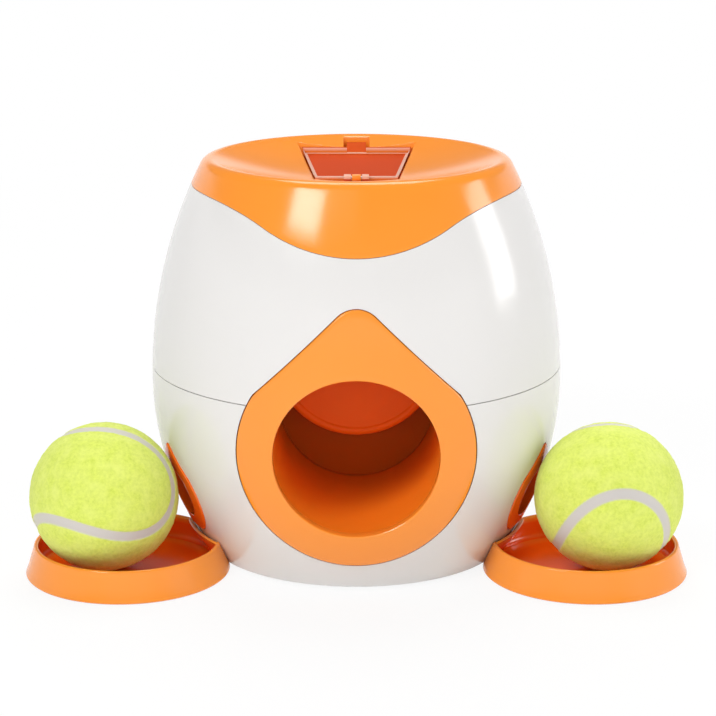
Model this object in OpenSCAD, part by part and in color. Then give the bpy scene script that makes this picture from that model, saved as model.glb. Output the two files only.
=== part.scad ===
// Tennis ball treat dispenser: a barrel-shaped housing with a ball hole, two treat outlets and two trays.
// Millimetres, +Z up, front towards -Y, origin on the ground below the middle of the barrel.

/* [Barrel] */
// Largest radius of the barrel
barrel_r = 91.6; // [86:0.2:98]
// Height at which the barrel is widest
barrel_z = 79; // [74:0.5:84]
// Radius of the side curve above the widest height
upper_curve = 211; // [195:1:230]
// Radius of the side curve below the widest height
lower_curve = 135.5; // [128:0.5:150]
// Height of the seam between the lower and the upper shell
seam_z = 85.5; // [82:0.5:92]
// Wall of the shells
shell_wall = 2.2; // [1.8:0.1:2.6]
// Floor of the lower shell
floor_t = 2.4; // [2:0.1:3.2]
// Height at which the feet carry the lower shell
foot_lift = 1; // [0.8:0.1:2]
// Gap that shows between two outer pieces
panel_gap = 0.4; // [0.3:0.05:0.6]
// Reach of the lips behind the shell edges
lip_h = 3; // [2:0.5:4]
// Thickness of those lips
lip_t = 1.2; // [1:0.1:1.5]
// Clearance between pieces that seat on each other
seat_gap = 0.25; // [0.2:0.05:0.35]

/* [Cap] */
// Height of the skirt's lowest point above the tip of the front bezel
dip_over = 20.3; // [19:0.1:23]
// Rise of the skirt's edge from that point to its sides and back
wave_h = 18.3; // [17:0.1:19.5]
// Radius of the skirt's front dip
dip_r = 80; // [75:1:85]
// Distance from the barrel's sides in to the ends of the wave
wave_in = 2.6; // [2:0.1:4]
// Height of the rim's crest above the skirt's edge at its sides
cap_h = 10.8; // [10:0.1:12]
// Radius of the rounded rim
rim_round = 5; // [4.2:0.1:5.6]
// Radius of the dished top
dish_curve = 182; // [165:1:220]
// Radius of the small flat at the middle of the dish
dish_flat_r = 7; // [5:0.5:8]

/* [Treat lid] */
// Front edge of the lid, behind the middle of the dish
lid_front = 2; // [0:0.5:5]
// Length of the lid
lid_l = 47; // [44:0.5:49]
// Half width of the lid's front edge
lid_front_half = 17.9; // [16.5:0.1:19]
// Half width of the lid's back edge
lid_back_half = 24.2; // [22:0.1:25]
// Slope of the flat lid down to the front, in degrees
lid_tilt = 5; // [3:0.5:7]
// Thickness of the lid
lid_t = 2; // [1.6:0.1:2.4]
// Width of the lid's raised border
lid_border = 3; // [2.6:0.1:4]
// Step of the raised border above the window
border_step = 0.6; // [0.4:0.1:0.9]
// Half width of the thumb tab
tab_half = 4.4; // [3:0.1:5]
// Length of the thumb tab
tab_l = 6.5; // [5:0.5:8]
// Half width of the finger recess
recess_half = 6; // [5.5:0.1:8]
// Length of the finger recess
recess_l = 12; // [10:0.5:12.5]
// Depth of the finger recess below the tab
recess_depth = 2.4; // [2:0.1:3]
// Flare of the seat's walls above the lid, in degrees
seat_draft = 24; // [18:1:28]
// Radius of the hinge pin
lid_pin_r = 0.9; // [0.7:0.1:1]
// Radius of the hinge knuckles
knuckle_r = 1.7; // [1.6:0.1:2]
// Half width of the cap's knuckle
knuckle_half = 2; // [1.6:0.1:2.6]
// Half width over both knuckles of the lid
hinge_half = 5.6; // [5:0.1:7]
// Width of the ledge under the lid
ledge_w = 2.6; // [2.2:0.1:3.2]

/* [Ball hole] */
// Radius of the ball hole
hole_r = 35; // [33.8:0.1:36]
// Height of the ball hole's centre
hole_z = 64; // [61:0.5:67]
// Radius of the round part of the front bezel
bezel_r = 50.4; // [47:0.2:52]
// Distance from the hole's centre to the bezel's straight flanks
bezel_flank = 48.9; // [46:0.1:50]
// Radius of the bezel's tip
bezel_tip_r = 11.3; // [9:0.1:13]
// Rise from the hole's centre to the centre of the bezel's tip
bezel_rise = 52.6; // [51:0.1:55]
// Stand of the bezels above the barrel
bezel_proud = 0.6; // [0.4:0.1:1]
// Depth of the bezels' collar behind the barrel's face
bezel_depth = 4; // [3.6:0.1:5]
// Reach of the bezels' flange behind the shell
flange_w = 2.5; // [2:0.1:3]
// Inner face of the pocket's end wall, behind the axis
pocket_end = 6; // [4:0.5:8]
// Wall of the ball pocket
pocket_wall = 2.2; // [1.8:0.1:2.6]
// Step from the hole's edge out to the pocket's wall
pocket_step = 0.4; // [0.3:0.1:0.6]

/* [Trigger flap] */
// Place of the hanging flap, front to back
flap_y = -18; // [-20:0.5:-17]
// Thickness of the flap
flap_t = 3; // [2.5:0.1:3.4]
// Height of the flap's lower edge
flap_low_z = 56; // [54:0.5:58]
// Radius of the flap's lower edge
flap_edge_r = 36; // [34:0.5:38]
// Room between the flap and the pocket's wall
flap_room = 3.4; // [3:0.1:4.5]
// Radius of the bead along the lower edge
bead_r = 2.2; // [1.8:0.1:2.4]
// Half angle over which the bead runs
bead_half_a = 52; // [45:1:56]
// Half width of the flap's neck
neck_half = 15; // [12:0.5:16]
// Radius of the flap's hub
flap_hub_r = 4; // [3.4:0.1:4.5]
// Largest swing of the flap in degrees
flap_swing = 22; // [18:0.5:23]

/* [Gears and drum] */
// Tooth size (module) of the gears
gear_module = 1.1; // [1:0.05:1.15]
// Teeth of the pinion
pinion_teeth = 12; // [12:1:13]
// Teeth that a whole sector gear would have
sector_teeth = 54; // [54:1:56]
// Pressure angle of the teeth
pressure_a = 25; // [24:0.5:26]
// Backlash between the teeth
backlash = 0.3; // [0.25:0.05:0.4]
// Height of a tooth above the pitch circle, in modules
tooth_top = 0.95; // [0.9:0.05:1]
// Depth of a tooth below the pitch circle, in modules
tooth_root = 1.3; // [1.25:0.05:1.4]
// Teeth of the sector to spare at each end of its run
spare_teeth = 2; // [1:1:3]
// Slope of the line from the flap axle to the drum axle
gear_lean = 20; // [18:0.5:24]
// Thickness of the gears
gear_t = 4; // [3:0.5:5]
// Radius of the two axles
axle_r = 1.5; // [1.25:0.05:1.75]
// Running clearance of the axles
axle_fit = 0.05; // [0.03:0.01:0.08]
// Radius of the axle heads
axle_head_r = 2.8; // [2.4:0.1:3.2]
// Thickness of the axle heads
axle_head_t = 1.2; // [1:0.1:1.6]
// Radius of the treat drum
drum_r = 16.5; // [15:0.1:17]
// Half length of the treat drum
drum_half = 19.5; // [18.5:0.1:20]
// Half length of the drum's treat pocket
drum_pocket_half = 15; // [12:0.5:16]
// Half angle of the drum's treat pocket
drum_pocket_a = 34; // [28:1:38]
// Distance from the drum's axis to the pocket's floor
drum_pocket_floor = 5; // [4.2:0.1:6]
// Inner half distance between the axle cheeks
cheek_in = 20.5; // [20.2:0.1:22]
// Thickness of the axle cheeks
cheek_t = 3; // [2.4:0.1:3.5]
// Radius of the cheek round an axle
cheek_r = 6; // [5:0.1:6.5]
// Running gap beside the flap, drum and gears
side_gap = 0.6; // [0.5:0.1:0.8]

/* [Treat path] */
// Drop from the skirt's edge to the flange between cap and hopper
hopper_drop = 8.5; // [7:0.5:10]
// Height of the throat above the drum
throat_h = 1.9; // [1.5:0.1:3]
// Wall of the hopper
hopper_wall = 2; // [1.6:0.1:2.4]
// Half width of the hopper's mouth
hopper_mouth_half = 27; // [25:0.5:28]
// Half width of the throat
throat_half = 15; // [12:0.5:16]
// Half length of the throat, front to back
throat_y_half = 9; // [8:0.5:10]
// Gap between the throat and the drum
throat_gap = 0.8; // [0.6:0.1:1]
// Height of the splitter's ridge
ridge_z = 96; // [94:0.5:98]
// Slope of the splitter
splitter_a = 36; // [32:1:40]
// Half width of the splitter
splitter_half = 27; // [25:0.5:28]
// Reach of the splitter behind the axis
splitter_back = 54; // [50:0.5:58]
// Wall of the splitter and the chutes
chute_wall = 1.8; // [1.5:0.1:2.2]
// Inner width of a chute
chute_w = 21; // [18:0.5:22]
// Height of a chute's sides
chute_h = 13; // [11:0.5:15]
// Sideways place of a chute's head
chute_head_x = 33; // [32:0.5:35]
// Place of a chute's head behind the axis
chute_head_y = 52; // [48:0.5:54]
// Height of a chute's floor at its head
chute_head_z = 64; // [62:0.5:66]
// Length of the leg under a chute
leg_l = 22; // [18:1:26]

/* [Treat outlets] */
// Direction of the outlets and trays, in degrees from the front
port_a = 67.5; // [66:0.5:70]
// Height of the outlet's centre
port_z = 33; // [32:0.5:35]
// Radius of the outlet hole
port_hole_r = 11; // [10:0.1:12]
// Radius of the round part of the outlet bezel
port_r = 18; // [17:0.1:19]
// Distance from the outlet's centre to the outlet bezel's flanks
port_flank = 17.5; // [16.5:0.1:17.8]
// Radius of the outlet bezel's tip
port_tip_r = 2.9; // [2.4:0.1:4]
// Rise from the outlet's centre to the centre of the tip
port_rise = 19.8; // [19:0.1:21]
// Height of the outlet bezel's flat sill
sill_z = 16.6; // [16:0.1:18]
// Length of the outlet collar behind the barrel's face
collar_l = 13.5; // [11.5:0.5:15.5]
// Wall of the outlet collar
collar_wall = 2; // [1.6:0.1:2.4]

/* [Trays] */
// Distance from the barrel's foot to a tray's centre
tray_out = 42.8; // [40:0.1:44]
// Room between a ball's girth and the round of the tray's rim
tray_room = 8.5; // [7.5:0.1:9.5]
// Spread of a tray's wall from its rim to its foot
tray_flare = 3.8; // [3:0.1:5]
// Height of a tray's rim
tray_h = 13.5; // [12:0.5:14.5]
// Wall of a tray
tray_wall = 2; // [1.6:0.1:2.4]
// Width of a tray's foot under its wall
tray_foot_w = 3; // [2.6:0.1:3.4]
// Floor of a tray
tray_floor = 2.2; // [1.8:0.1:2.6]
// Gap between a tray and the barrel
tray_gap = 0.4; // [0.3:0.05:0.6]
// Half width of a tray's tongue
tongue_half = 10; // [8:0.5:12]
// Thickness of a tray's tongue
tongue_t = 4; // [3:0.1:5]
// Reach of the tongue behind the barrel's face
tongue_reach = 7; // [5:0.5:9]

/* [Balls] */
// Radius of a tennis ball
ball_r = 32.5; // [32:0.1:33.5]
// Thickness of the felt
felt_t = 3; // [2.5:0.1:3.4]
// Thickness of the rubber core
core_t = 3.4; // [3:0.1:4]
// Clearance between a ball and the outlet's bezel, at the height of the ball's centre
ball_clear = 1.73; // [1.7:0.01:3]
// Gap under a resting ball
ball_gap = 0.3; // [0.3:0.05:0.5]

/* [Fasteners and feet] */
// Radius of the screws' shank
screw_r = 1.3; // [1.1:0.05:1.5]
// Radius of the screws' head
screw_head_r = 2.8; // [2.4:0.1:3.2]
// Thickness of the screws' head
screw_head_t = 1.4; // [1.2:0.1:1.6]
// Radius of the screw bosses
boss_r = 4; // [3.4:0.1:4.4]
// Length of a base screw's shank
screw_l = 12; // [10:0.5:14]
// Length of a hopper screw's shank
hopper_screw_l = 8; // [7:0.5:9]
// Sideways place of the base screws
base_screw_x = 20; // [17:0.5:22]
// Place of the front base screws, front to back
base_screw_front = -44; // [-46:0.5:-40]
// Place of the back base screws, front to back
base_screw_back = -2; // [-6:0.5:1]
// Sideways place of the hopper screws
hopper_screw_x = 35; // [34:0.5:36]
// Place of the front hopper screws, front to back
hopper_screw_front = 6; // [5:0.5:8]
// Place of the back hopper screws, front to back
hopper_screw_back = 42; // [40:0.5:43]
// Radius of a rubber foot
foot_r = 7; // [6:0.5:8]
// Sideways place of the feet
foot_x = 40; // [38:0.5:42]
// Place of the feet, front to back
foot_y = 36; // [33:0.5:38]
// Depth at which a foot sits in the floor
foot_seat = 0.8; // [0.6:0.1:1]

/* [Hidden] */
$fn = 128;

white = "#eeeeec";
orange = "#f59a3c";
deep_orange = "#e8822e";
clear_tint = [0.95, 0.55, 0.42, 0.4];
steel = "#b8babd";
nylon = "#f2efe6";
felt_green = "#dcee7c";
rubber_black = "#2c2c2e";

far = 3 * barrel_r;
cut = 1;
hair = 0.02;
flank_steps = 6;
floor_z = foot_lift + floor_t;
lip_face = shell_wall + seat_gap;
lip_back = lip_face + lip_t;
flap_z = hole_z + hole_r + pocket_step + pocket_wall + flap_hub_r + side_gap;
pinion_r = gear_module * pinion_teeth / 2;
sector_r = gear_module * sector_teeth / 2;
drum_y = flap_y + (pinion_r + sector_r) * cos(gear_lean);
drum_z = flap_z + (pinion_r + sector_r) * sin(gear_lean);
cheek_out = cheek_in + cheek_t;
gear_x = cheek_out + side_gap;
pocket_r = hole_r + pocket_step;
pocket_front_inset = bezel_depth + seat_gap;
dip_z = hole_z + bezel_rise + bezel_tip_r + dip_over;
skirt_z = dip_z + wave_h;
rim_z = skirt_z + cap_h;
wave_half_w = barrel_at(skirt_z) - wave_in;
rim_cz = rim_z - rim_round;
rim_cr = barrel_r - upper_curve + sqrt(pow(upper_curve - rim_round, 2) - pow(rim_cz - barrel_z, 2));
dish_cz = rim_cz + sqrt(pow(dish_curve + rim_round, 2) - pow(rim_cr, 2));
dip_above = dip_z + dip_r - skirt_z;
shoulder_r = (pow(wave_half_w, 2) + pow(dip_above, 2) - pow(dip_r, 2)) / (2 * (dip_r - dip_above));
wave_meet_x = wave_half_w * dip_r / (dip_r + shoulder_r);
lid_front_z = dish_at(norm([lid_front_half, lid_front]));
hinge_v = knuckle_r + panel_gap;
hinge_w = knuckle_r + seat_gap / 2 - lid_t;
hopper_top = skirt_z - hopper_drop;
funnel_z = drum_z + drum_r + throat_h;
tray_d = barrel_at(0) + tray_out;
tray_rim_r = ball_r + tray_room;
tray_foot_r = tray_rim_r + tray_flare;
ball_z = tray_floor + ball_gap + ball_r;
ball_d = barrel_at(ball_z) + bezel_proud + ball_clear + ball_r;
collar_end = barrel_at(port_z) - collar_l;
collar_y = -collar_end;
chute_tail_z = port_z - port_hole_r + chute_wall;
chute_tail = [(collar_end - seat_gap) * sin(port_a), -(collar_end - seat_gap) * cos(port_a)];
chute_run = norm([chute_head_x, chute_head_y] - chute_tail);
chute_turn = atan2(chute_head_y - chute_tail[1], chute_head_x - chute_tail[0]);
chute_slope = atan2(chute_head_z - chute_tail_z, chute_run);
chute_l = chute_run / cos(chute_slope);

// Height of the dish at a distance from the barrel's axis
function dish_at(d) = dish_cz - sqrt(pow(dish_curve, 2) - pow(d, 2));
// Radius of the barrel at a height
function barrel_at(z) = let (c = z > barrel_z ? upper_curve : lower_curve)
    barrel_r - c + sqrt(pow(c, 2) - pow(z - barrel_z, 2));
// Spread of the lid's sides for each millimetre of its length
lid_spread = (lid_back_half - lid_front_half) / lid_l;
// Half width of the lid at a distance behind its front edge
function lid_half_at(v) = lid_front_half + lid_spread * v;

// Flat shape in front view, carried from y0 to y1
module along_y(y0, y1) {
    translate([0, y1, 0]) rotate([90, 0, 0]) linear_extrude(y1 - y0) children();
}

// Flat shape in side view, carried from x0 to x1
module along_x(x0, x1) {
    translate([x0, 0, 0]) rotate([90, 0, 90]) linear_extrude(x1 - x0) children();
}

// Pin along X from x0 to x1
module x_pin(y, z, r, x0, x1) {
    translate([x0, y, z]) rotate([0, 90, 0]) cylinder(r = r, h = x1 - x0);
}

// Half outline of the barrel between two heights, set in from its outer face
module barrel_outline(inset, z0, z1) {
    if (z0 < barrel_z) intersection() {
        translate([barrel_r - lower_curve, barrel_z]) circle(lower_curve - inset);
        translate([0, z0]) square([far, min(z1, barrel_z) - z0]);
    }
    if (z1 > barrel_z) intersection() {
        translate([barrel_r - upper_curve, barrel_z]) circle(upper_curve - inset);
        translate([0, max(z0, barrel_z)]) square([far, z1 - max(z0, barrel_z)]);
    }
}

// Barrel filled between two heights
module barrel(inset, z0, z1) {
    rotate_extrude() barrel_outline(inset, z0, z1);
}

// Wall of the barrel between two insets and two heights
module barrel_wall(outer, inner, z0, z1) {
    rotate_extrude() difference() {
        barrel_outline(outer, z0, z1);
        barrel_outline(inner, z0 - cut, z1 + cut);
    }
}

// Round shape with two straight flanks that rise to a rounded tip
module teardrop(r, flank, tip_r, rise, grow) {
    a = asin((flank - tip_r) / rise);
    side = [cos(a), sin(a)];
    high = [0, rise] + (tip_r + grow - hair) * side;
    wide = r + grow + cut;
    wide_z = (flank + grow - hair - wide * side[0]) / side[1];
    intersection() {
        union() {
            circle(r + grow);
            translate([-far / 2, flank * side[1]]) square([far, far]);
        }
        polygon([high, [wide, wide_z], [wide, -wide], [-wide, -wide], [-wide, wide_z], [-high[0], high[1]]]);
    }
    translate([0, rise]) circle(tip_r + grow);
}

module front_teardrop(grow) {
    translate([0, hole_z]) teardrop(bezel_r, bezel_flank, bezel_tip_r, bezel_rise, grow);
}

module port_teardrop(grow) {
    intersection() {
        translate([0, port_z]) teardrop(port_r, port_flank, port_tip_r, port_rise, grow);
        translate([-far / 2, sill_z - grow]) square([far, far]);
    }
}

// Opening in the shells behind the front bezel
module front_opening(grow) {
    along_y(-far, -barrel_r / 2) front_teardrop(grow);
}

// Turns front-facing children to the right or the left outlet
module at_port(side) {
    rotate([0, 0, side * port_a]) children();
}

// Front view of all that lies above the wavy edge: a dip at the front between two shoulders
module wave_front() {
    difference() {
        translate([-far / 2, dip_z - cut]) square([far, far]);
        for (s = [-1, 1]) {
            translate([s * wave_half_w, skirt_z - shoulder_r]) circle(shoulder_r);
            translate([s > 0 ? wave_half_w : -far, 0]) square([far - wave_half_w, skirt_z]);
        }
        difference() {
            translate([-wave_meet_x, 0]) square([2 * wave_meet_x, skirt_z]);
            translate([0, dip_z + dip_r]) circle(dip_r);
        }
    }
}

// Everything above the wavy edge between cap and upper shell, level over the back half
module above_wave(drop) {
    wave_end = -sqrt(pow(barrel_at(skirt_z), 2) - pow(wave_half_w, 2)) / 2;
    along_y(-far / 2, wave_end) translate([0, -drop]) wave_front();
    translate([-far / 2, wave_end, skirt_z - drop]) cube([far, far / 2 - wave_end, far]);
}

// White tub: wall, floor, seam lip, and openings for bezels, trays, screws and feet
module lower_shell() {
    color(white) difference() {
        union() {
            barrel_wall(0, shell_wall, foot_lift, seam_z - panel_gap / 2);
            barrel(0, foot_lift, floor_z);
            difference() {
                union() {
                    barrel_wall(lip_face, lip_back, seam_z - lip_h, seam_z + lip_h);
                    barrel_wall(shell_wall / 2, lip_back, seam_z - lip_h, seam_z - panel_gap / 2);
                }
                front_opening(flange_w + panel_gap);
            }
        }
        front_opening(panel_gap);
        for (s = [-1, 1]) at_port(s) {
            along_y(-far, -collar_end) port_teardrop(panel_gap);
            along_y(-far, -barrel_at(0) / 2) tongue_outline(panel_gap);
        }
        base_screw_places() translate([0, 0, foot_lift - cut]) {
            cylinder(r = screw_r + axle_fit, h = floor_t + 2 * cut);
            cylinder(r = screw_head_r + seat_gap, h = cut + floor_t / 2);
        }
        foot_places() cylinder(r = foot_r + seat_gap, h = foot_lift + foot_seat);
    }
}

// White upper wall up to the cap's wavy edge, in two courses that meet just under the bezel's tip
module upper_shell() {
    course_z = hole_z + bezel_rise + bezel_tip_r - cut;
    color(white) difference() {
        union() {
            barrel_wall(0, shell_wall, seam_z + panel_gap / 2, course_z);
            barrel_wall(0, shell_wall, course_z, skirt_z);
        }
        above_wave(panel_gap);
        front_opening(panel_gap);
    }
}

// Bowl of the dish, set down by a depth, with the flat that the moulding gate leaves at its middle
module dish_bowl(depth) {
    r = dish_curve + depth;
    difference() {
        circle(r);
        translate([-r, -2 * r]) square([2 * r, 2 * r - sqrt(pow(r, 2) - pow(dish_flat_r, 2))]);
    }
}

// Half outline of the cap with its dish, set in from its faces
module cap_outline(inset) {
    difference() {
        union() {
            barrel_outline(inset, dip_z - 2 * lip_h, rim_cz);
            translate([rim_cr, rim_cz]) circle(rim_round - inset);
            translate([0, dip_z - 2 * lip_h]) square([rim_cr, rim_z - inset - dip_z + 2 * lip_h]);
        }
        translate([0, dish_cz]) dish_bowl(inset);
        translate([-far, 0]) square([far, far]);
    }
}

// All that lies under the dish, less a depth
module under_dish(depth) {
    difference() {
        translate([-barrel_r, -barrel_r, hopper_top]) cube([2 * barrel_r, 2 * barrel_r, rim_z - hopper_top]);
        above_dish(depth);
    }
}

// All that lies above a level set down from the dish
module above_dish(depth) {
    translate([0, 0, dish_cz]) rotate_extrude() intersection() {
        dish_bowl(depth);
        translate([0, -2 * dish_curve]) square([2 * dish_curve, 4 * dish_curve]);
    }
}

// Places children on the lid's sloping top face, at the middle of its front edge
module on_lid() {
    translate([0, lid_front, lid_front_z]) rotate([lid_tilt, 0, 0]) children();
}

// Plan of the lid between two distances behind its front edge, set out on all sides
module lid_plan(grow, v0, v1) {
    out = grow * sqrt(1 + pow(lid_spread, 2));
    a = lid_half_at(v0 - grow) + out;
    b = lid_half_at(v1 + grow) + out;
    polygon([[-a, v0 - grow], [a, v0 - grow], [b, v1 + grow], [-b, v1 + grow]]);
}

// Upright column over the lid's plan
module lid_prism(grow) {
    translate([0, lid_front, hopper_top - cut]) linear_extrude(rim_z - hopper_top + 2 * cut)
        lid_plan(grow, 0, lid_l);
}

// Room for the lid in the dish: upright beside the lid, flared above it
module lid_seat() {
    rise = rim_z - lid_front_z;
    on_lid() hull() {
        translate([0, 0, -lid_t - seat_gap]) linear_extrude(lid_t + seat_gap) lid_plan(panel_gap, 0, lid_l);
        translate([0, 0, rise]) linear_extrude(cut) lid_plan(panel_gap + rise * tan(seat_draft), 0, lid_l);
    }
}

// Room for a finger behind the lid, under its tab
module finger_recess(grow) {
    depth = lid_t + recess_depth + grow;
    on_lid() translate([-recess_half - grow, lid_l, -depth])
        cube([2 * (recess_half + grow), recess_l + grow, depth + rim_z - lid_front_z]);
}

// Knuckle of the cap between the lid's two, on a lug that stands on the ledge
module cap_knuckle() {
    lug_h = lid_t + seat_gap + cut + hinge_w;
    on_lid() difference() {
        union() {
            x_pin(hinge_v, hinge_w, knuckle_r, -knuckle_half, knuckle_half);
            translate([-knuckle_half, hinge_v - knuckle_r / 2, hinge_w - lug_h])
                cube([2 * knuckle_half, knuckle_r, lug_h]);
        }
        x_pin(hinge_v, hinge_w, lid_pin_r + axle_fit, -hinge_half, hinge_half);
    }
}

// Orange cap: skirt with lip, rounded rim, dish, collar round the lid's opening and hinge knuckle
module top_cap() {
    color(orange) {
        difference() {
            union() {
                intersection() {
                    rotate_extrude() difference() {
                        cap_outline(0);
                        cap_outline(shell_wall);
                    }
                    above_wave(0);
                }
                intersection() {
                    barrel_wall(lip_face, lip_back, dip_z - 2 * lip_h, rim_cz);
                    lip_band(lip_h);
                }
                intersection() {
                    barrel_wall(shell_wall / 2, lip_back, dip_z - 2 * lip_h, rim_cz);
                    lip_band(0);
                }
                intersection() {
                    under_dish(shell_wall / 2);
                    union() {
                        lid_prism(2 * hopper_wall);
                        finger_recess(hopper_wall);
                        hopper_screw_places() translate([0, 0, hopper_top])
                            cylinder(r = boss_r, h = rim_z - hopper_top);
                    }
                }
            }
            lid_seat();
            lid_prism(-ledge_w);
            finger_recess(0);
            hopper_screw_places() translate([0, 0, hopper_top - cut])
                cylinder(r = screw_r + axle_fit, h = cut + hopper_screw_l - hopper_wall + seat_gap);
        }
        cap_knuckle();
    }
}

// Band along the wavy edge, from below it to a little above it
module lip_band(below) {
    difference() {
        above_wave(below);
        above_wave(-lip_h);
    }
}

// Clear lid: window with a raised border, two knuckles at the front and a thumb tab at the back
module treat_lid() {
    plate_v = hinge_v + knuckle_r / 3;
    notch_half = knuckle_half + panel_gap;
    color(clear_tint) on_lid() difference() {
        union() {
            difference() {
                translate([0, 0, -lid_t]) linear_extrude(lid_t) {
                    lid_plan(0, plate_v, lid_l);
                    translate([-tab_half, lid_l - lid_border]) square([2 * tab_half, lid_border + tab_l]);
                }
                translate([-notch_half, 0, -lid_t - cut])
                    cube([2 * notch_half, hinge_v + knuckle_r + panel_gap, lid_t + 2 * cut]);
            }
            x_pin(hinge_v, hinge_w, knuckle_r, notch_half, hinge_half);
            x_pin(hinge_v, hinge_w, knuckle_r, -hinge_half, -notch_half);
        }
        translate([0, 0, -border_step]) linear_extrude(border_step + cut)
            lid_plan(-lid_border, plate_v, lid_l);
        x_pin(hinge_v, hinge_w, lid_pin_r + axle_fit, -hinge_half - cut, hinge_half + cut);
    }
}

module lid_pin() {
    color(steel) on_lid() x_pin(hinge_v, hinge_w, lid_pin_r, -hinge_half, hinge_half);
}

// Orange bin under the lid, which narrows to a throat over the drum
module hopper() {
    flange_half = hopper_screw_x + boss_r;
    flange_front = hopper_screw_front - boss_r;
    flange_l = lid_front + lid_l + boss_r - flange_front;
    color(deep_orange) difference() {
        union() {
            translate([-flange_half, flange_front, hopper_top - hopper_wall])
                cube([2 * flange_half, flange_l, hopper_wall]);
            funnel(hopper_wall, 0);
        }
        funnel(0, cut);
        x_pin(drum_y, drum_z, drum_r + throat_gap, -far / 2, far / 2);
        hopper_screw_places() translate([0, 0, hopper_top - hopper_wall - cut])
            cylinder(r = screw_r + axle_fit, h = hopper_wall + 2 * cut);
    }
}

// Funnel from the hopper's mouth to the throat, with its walls set out by grow
module funnel(grow, over) {
    mouth_y0 = lid_front + ledge_w;
    mouth_l = lid_l - 2 * ledge_w;
    hull() {
        translate([-hopper_mouth_half - grow, mouth_y0 - grow, hopper_top - cut])
            cube([2 * (hopper_mouth_half + grow), mouth_l + 2 * grow, cut + over]);
        throat(grow, funnel_z, 1);
    }
    throat(grow, drum_z, funnel_z - drum_z + cut / 2 + over);
}

module throat(grow, z, h) {
    translate([-throat_half - grow, drum_y - throat_y_half - grow, z])
        cube([2 * (throat_half + grow), 2 * (throat_y_half + grow), h]);
}

// Conforming teardrop with a collar and a flange behind the shell; children are its outline and its hole
module bezel_body(z0, z1) {
    difference() {
        union() {
            intersection() {
                barrel_wall(-bezel_proud, bezel_depth, z0, z1);
                along_y(-far, -collar_end / 2) children(0);
            }
            intersection() {
                barrel_wall(shell_wall + seat_gap, bezel_depth, z0, z1);
                along_y(-far, -collar_end / 2) children(1);
            }
        }
        along_y(-far, 0) children(2);
    }
}

// Orange teardrop round the ball hole
module front_bezel() {
    color(orange) bezel_body(floor_z + cut, dip_z - cut) {
        front_teardrop(0);
        front_teardrop(flange_w);
        translate([0, hole_z]) circle(hole_r);
    }
}

// Small teardrop round a treat outlet, with a collar that reaches in to the chute
module port_bezel(side) {
    color(orange) at_port(side) {
        bezel_body(floor_z + cut, seam_z - lip_h - cut) {
            port_teardrop(0);
            port_teardrop(flange_w);
            translate([0, port_z]) circle(port_hole_r);
        }
        intersection() {
            along_y(-barrel_r, collar_y) translate([0, port_z]) difference() {
                circle(port_hole_r + collar_wall);
                circle(port_hole_r);
            }
            barrel(bezel_depth / 2, floor_z, seam_z);
        }
    }
}

// Orange tube behind the ball hole: end wall, roof slot, axle cheeks and screw bosses
module ball_pocket() {
    outer_r = pocket_r + pocket_wall;
    slot_back = (flap_z - hole_z - sqrt(pow(pocket_r, 2) - pow(neck_half, 2))) * tan(flap_swing);
    color(orange) difference() {
        union() {
            intersection() {
                along_y(-barrel_r, pocket_end + pocket_wall) translate([0, hole_z]) circle(outer_r);
                barrel(pocket_front_inset, floor_z, seam_z + far);
            }
            base_screw_places() translate([0, 0, floor_z]) cylinder(r = boss_r, h = hole_z - floor_z);
            for (y = [base_screw_front, base_screw_back])
                translate([-base_screw_x, y - pocket_wall / 2, floor_z])
                    cube([2 * base_screw_x, pocket_wall, hole_z - floor_z]);
            along_x(cheek_in, cheek_out) cheek_side();
            along_x(-cheek_out, -cheek_in) cheek_side();
        }
        along_y(-barrel_r, pocket_end) translate([0, hole_z]) circle(pocket_r);
        translate([-neck_half - side_gap, flap_y - flap_t / 2 - side_gap, hole_z])
            cube([2 * (neck_half + side_gap), slot_back + flap_t + 2 * side_gap, far]);
        x_pin(flap_y, flap_z, axle_r + axle_fit, -far / 2, far / 2);
        x_pin(drum_y, drum_z, axle_r + axle_fit, -far / 2, far / 2);
        base_screw_places() translate([0, 0, floor_z - cut]) cylinder(r = screw_r + axle_fit, h = screw_l);
    }
}

// Side view of an axle cheek: two eyes joined by a web that stands on the tube
module cheek_side() {
    web_a = gear_lean + 90;
    up = cheek_r * [cos(web_a), sin(web_a)];
    front_eye = [flap_y, flap_z];
    back_eye = [drum_y, drum_z];
    foot = hole_z + sqrt(pow(pocket_r, 2) - pow(cheek_out, 2));
    translate(front_eye) circle(cheek_r);
    translate(back_eye) circle(cheek_r);
    polygon([front_eye + up, back_eye + up, back_eye - up, [pocket_end, foot], [flap_y - cheek_r, foot],
        [flap_y - cheek_r, flap_z]]);
}

// Orange flap that hangs in the ball pocket
module trigger_flap() {
    arc_z = flap_low_z + flap_edge_r;
    color(orange) difference() {
        union() {
            along_y(flap_y - flap_t / 2, flap_y + flap_t / 2) {
                intersection() {
                    translate([0, hole_z]) circle(pocket_r - flap_room);
                    translate([0, arc_z]) circle(flap_edge_r);
                }
                translate([-neck_half, hole_z]) square([2 * neck_half, flap_z - hole_z]);
            }
            translate([0, flap_y, arc_z]) rotate([90, 0, 0]) rotate([0, 0, 270 - bead_half_a])
                rotate_extrude(angle = 2 * bead_half_a)
                    translate([flap_edge_r - bead_r / 2, 0]) circle(bead_r);
            x_pin(flap_y, flap_z, flap_hub_r, -cheek_in + side_gap, cheek_in - side_gap);
        }
        x_pin(flap_y, flap_z, axle_r + axle_fit, -far / 2, far / 2);
    }
}

// Steel axle with a head at its left end
module axle(y, z) {
    color(steel) {
        x_pin(y, z, axle_r, -cheek_out - side_gap, gear_x + gear_t);
        x_pin(y, z, axle_head_r, -cheek_out - side_gap - axle_head_t, -cheek_out - side_gap);
    }
}

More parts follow.
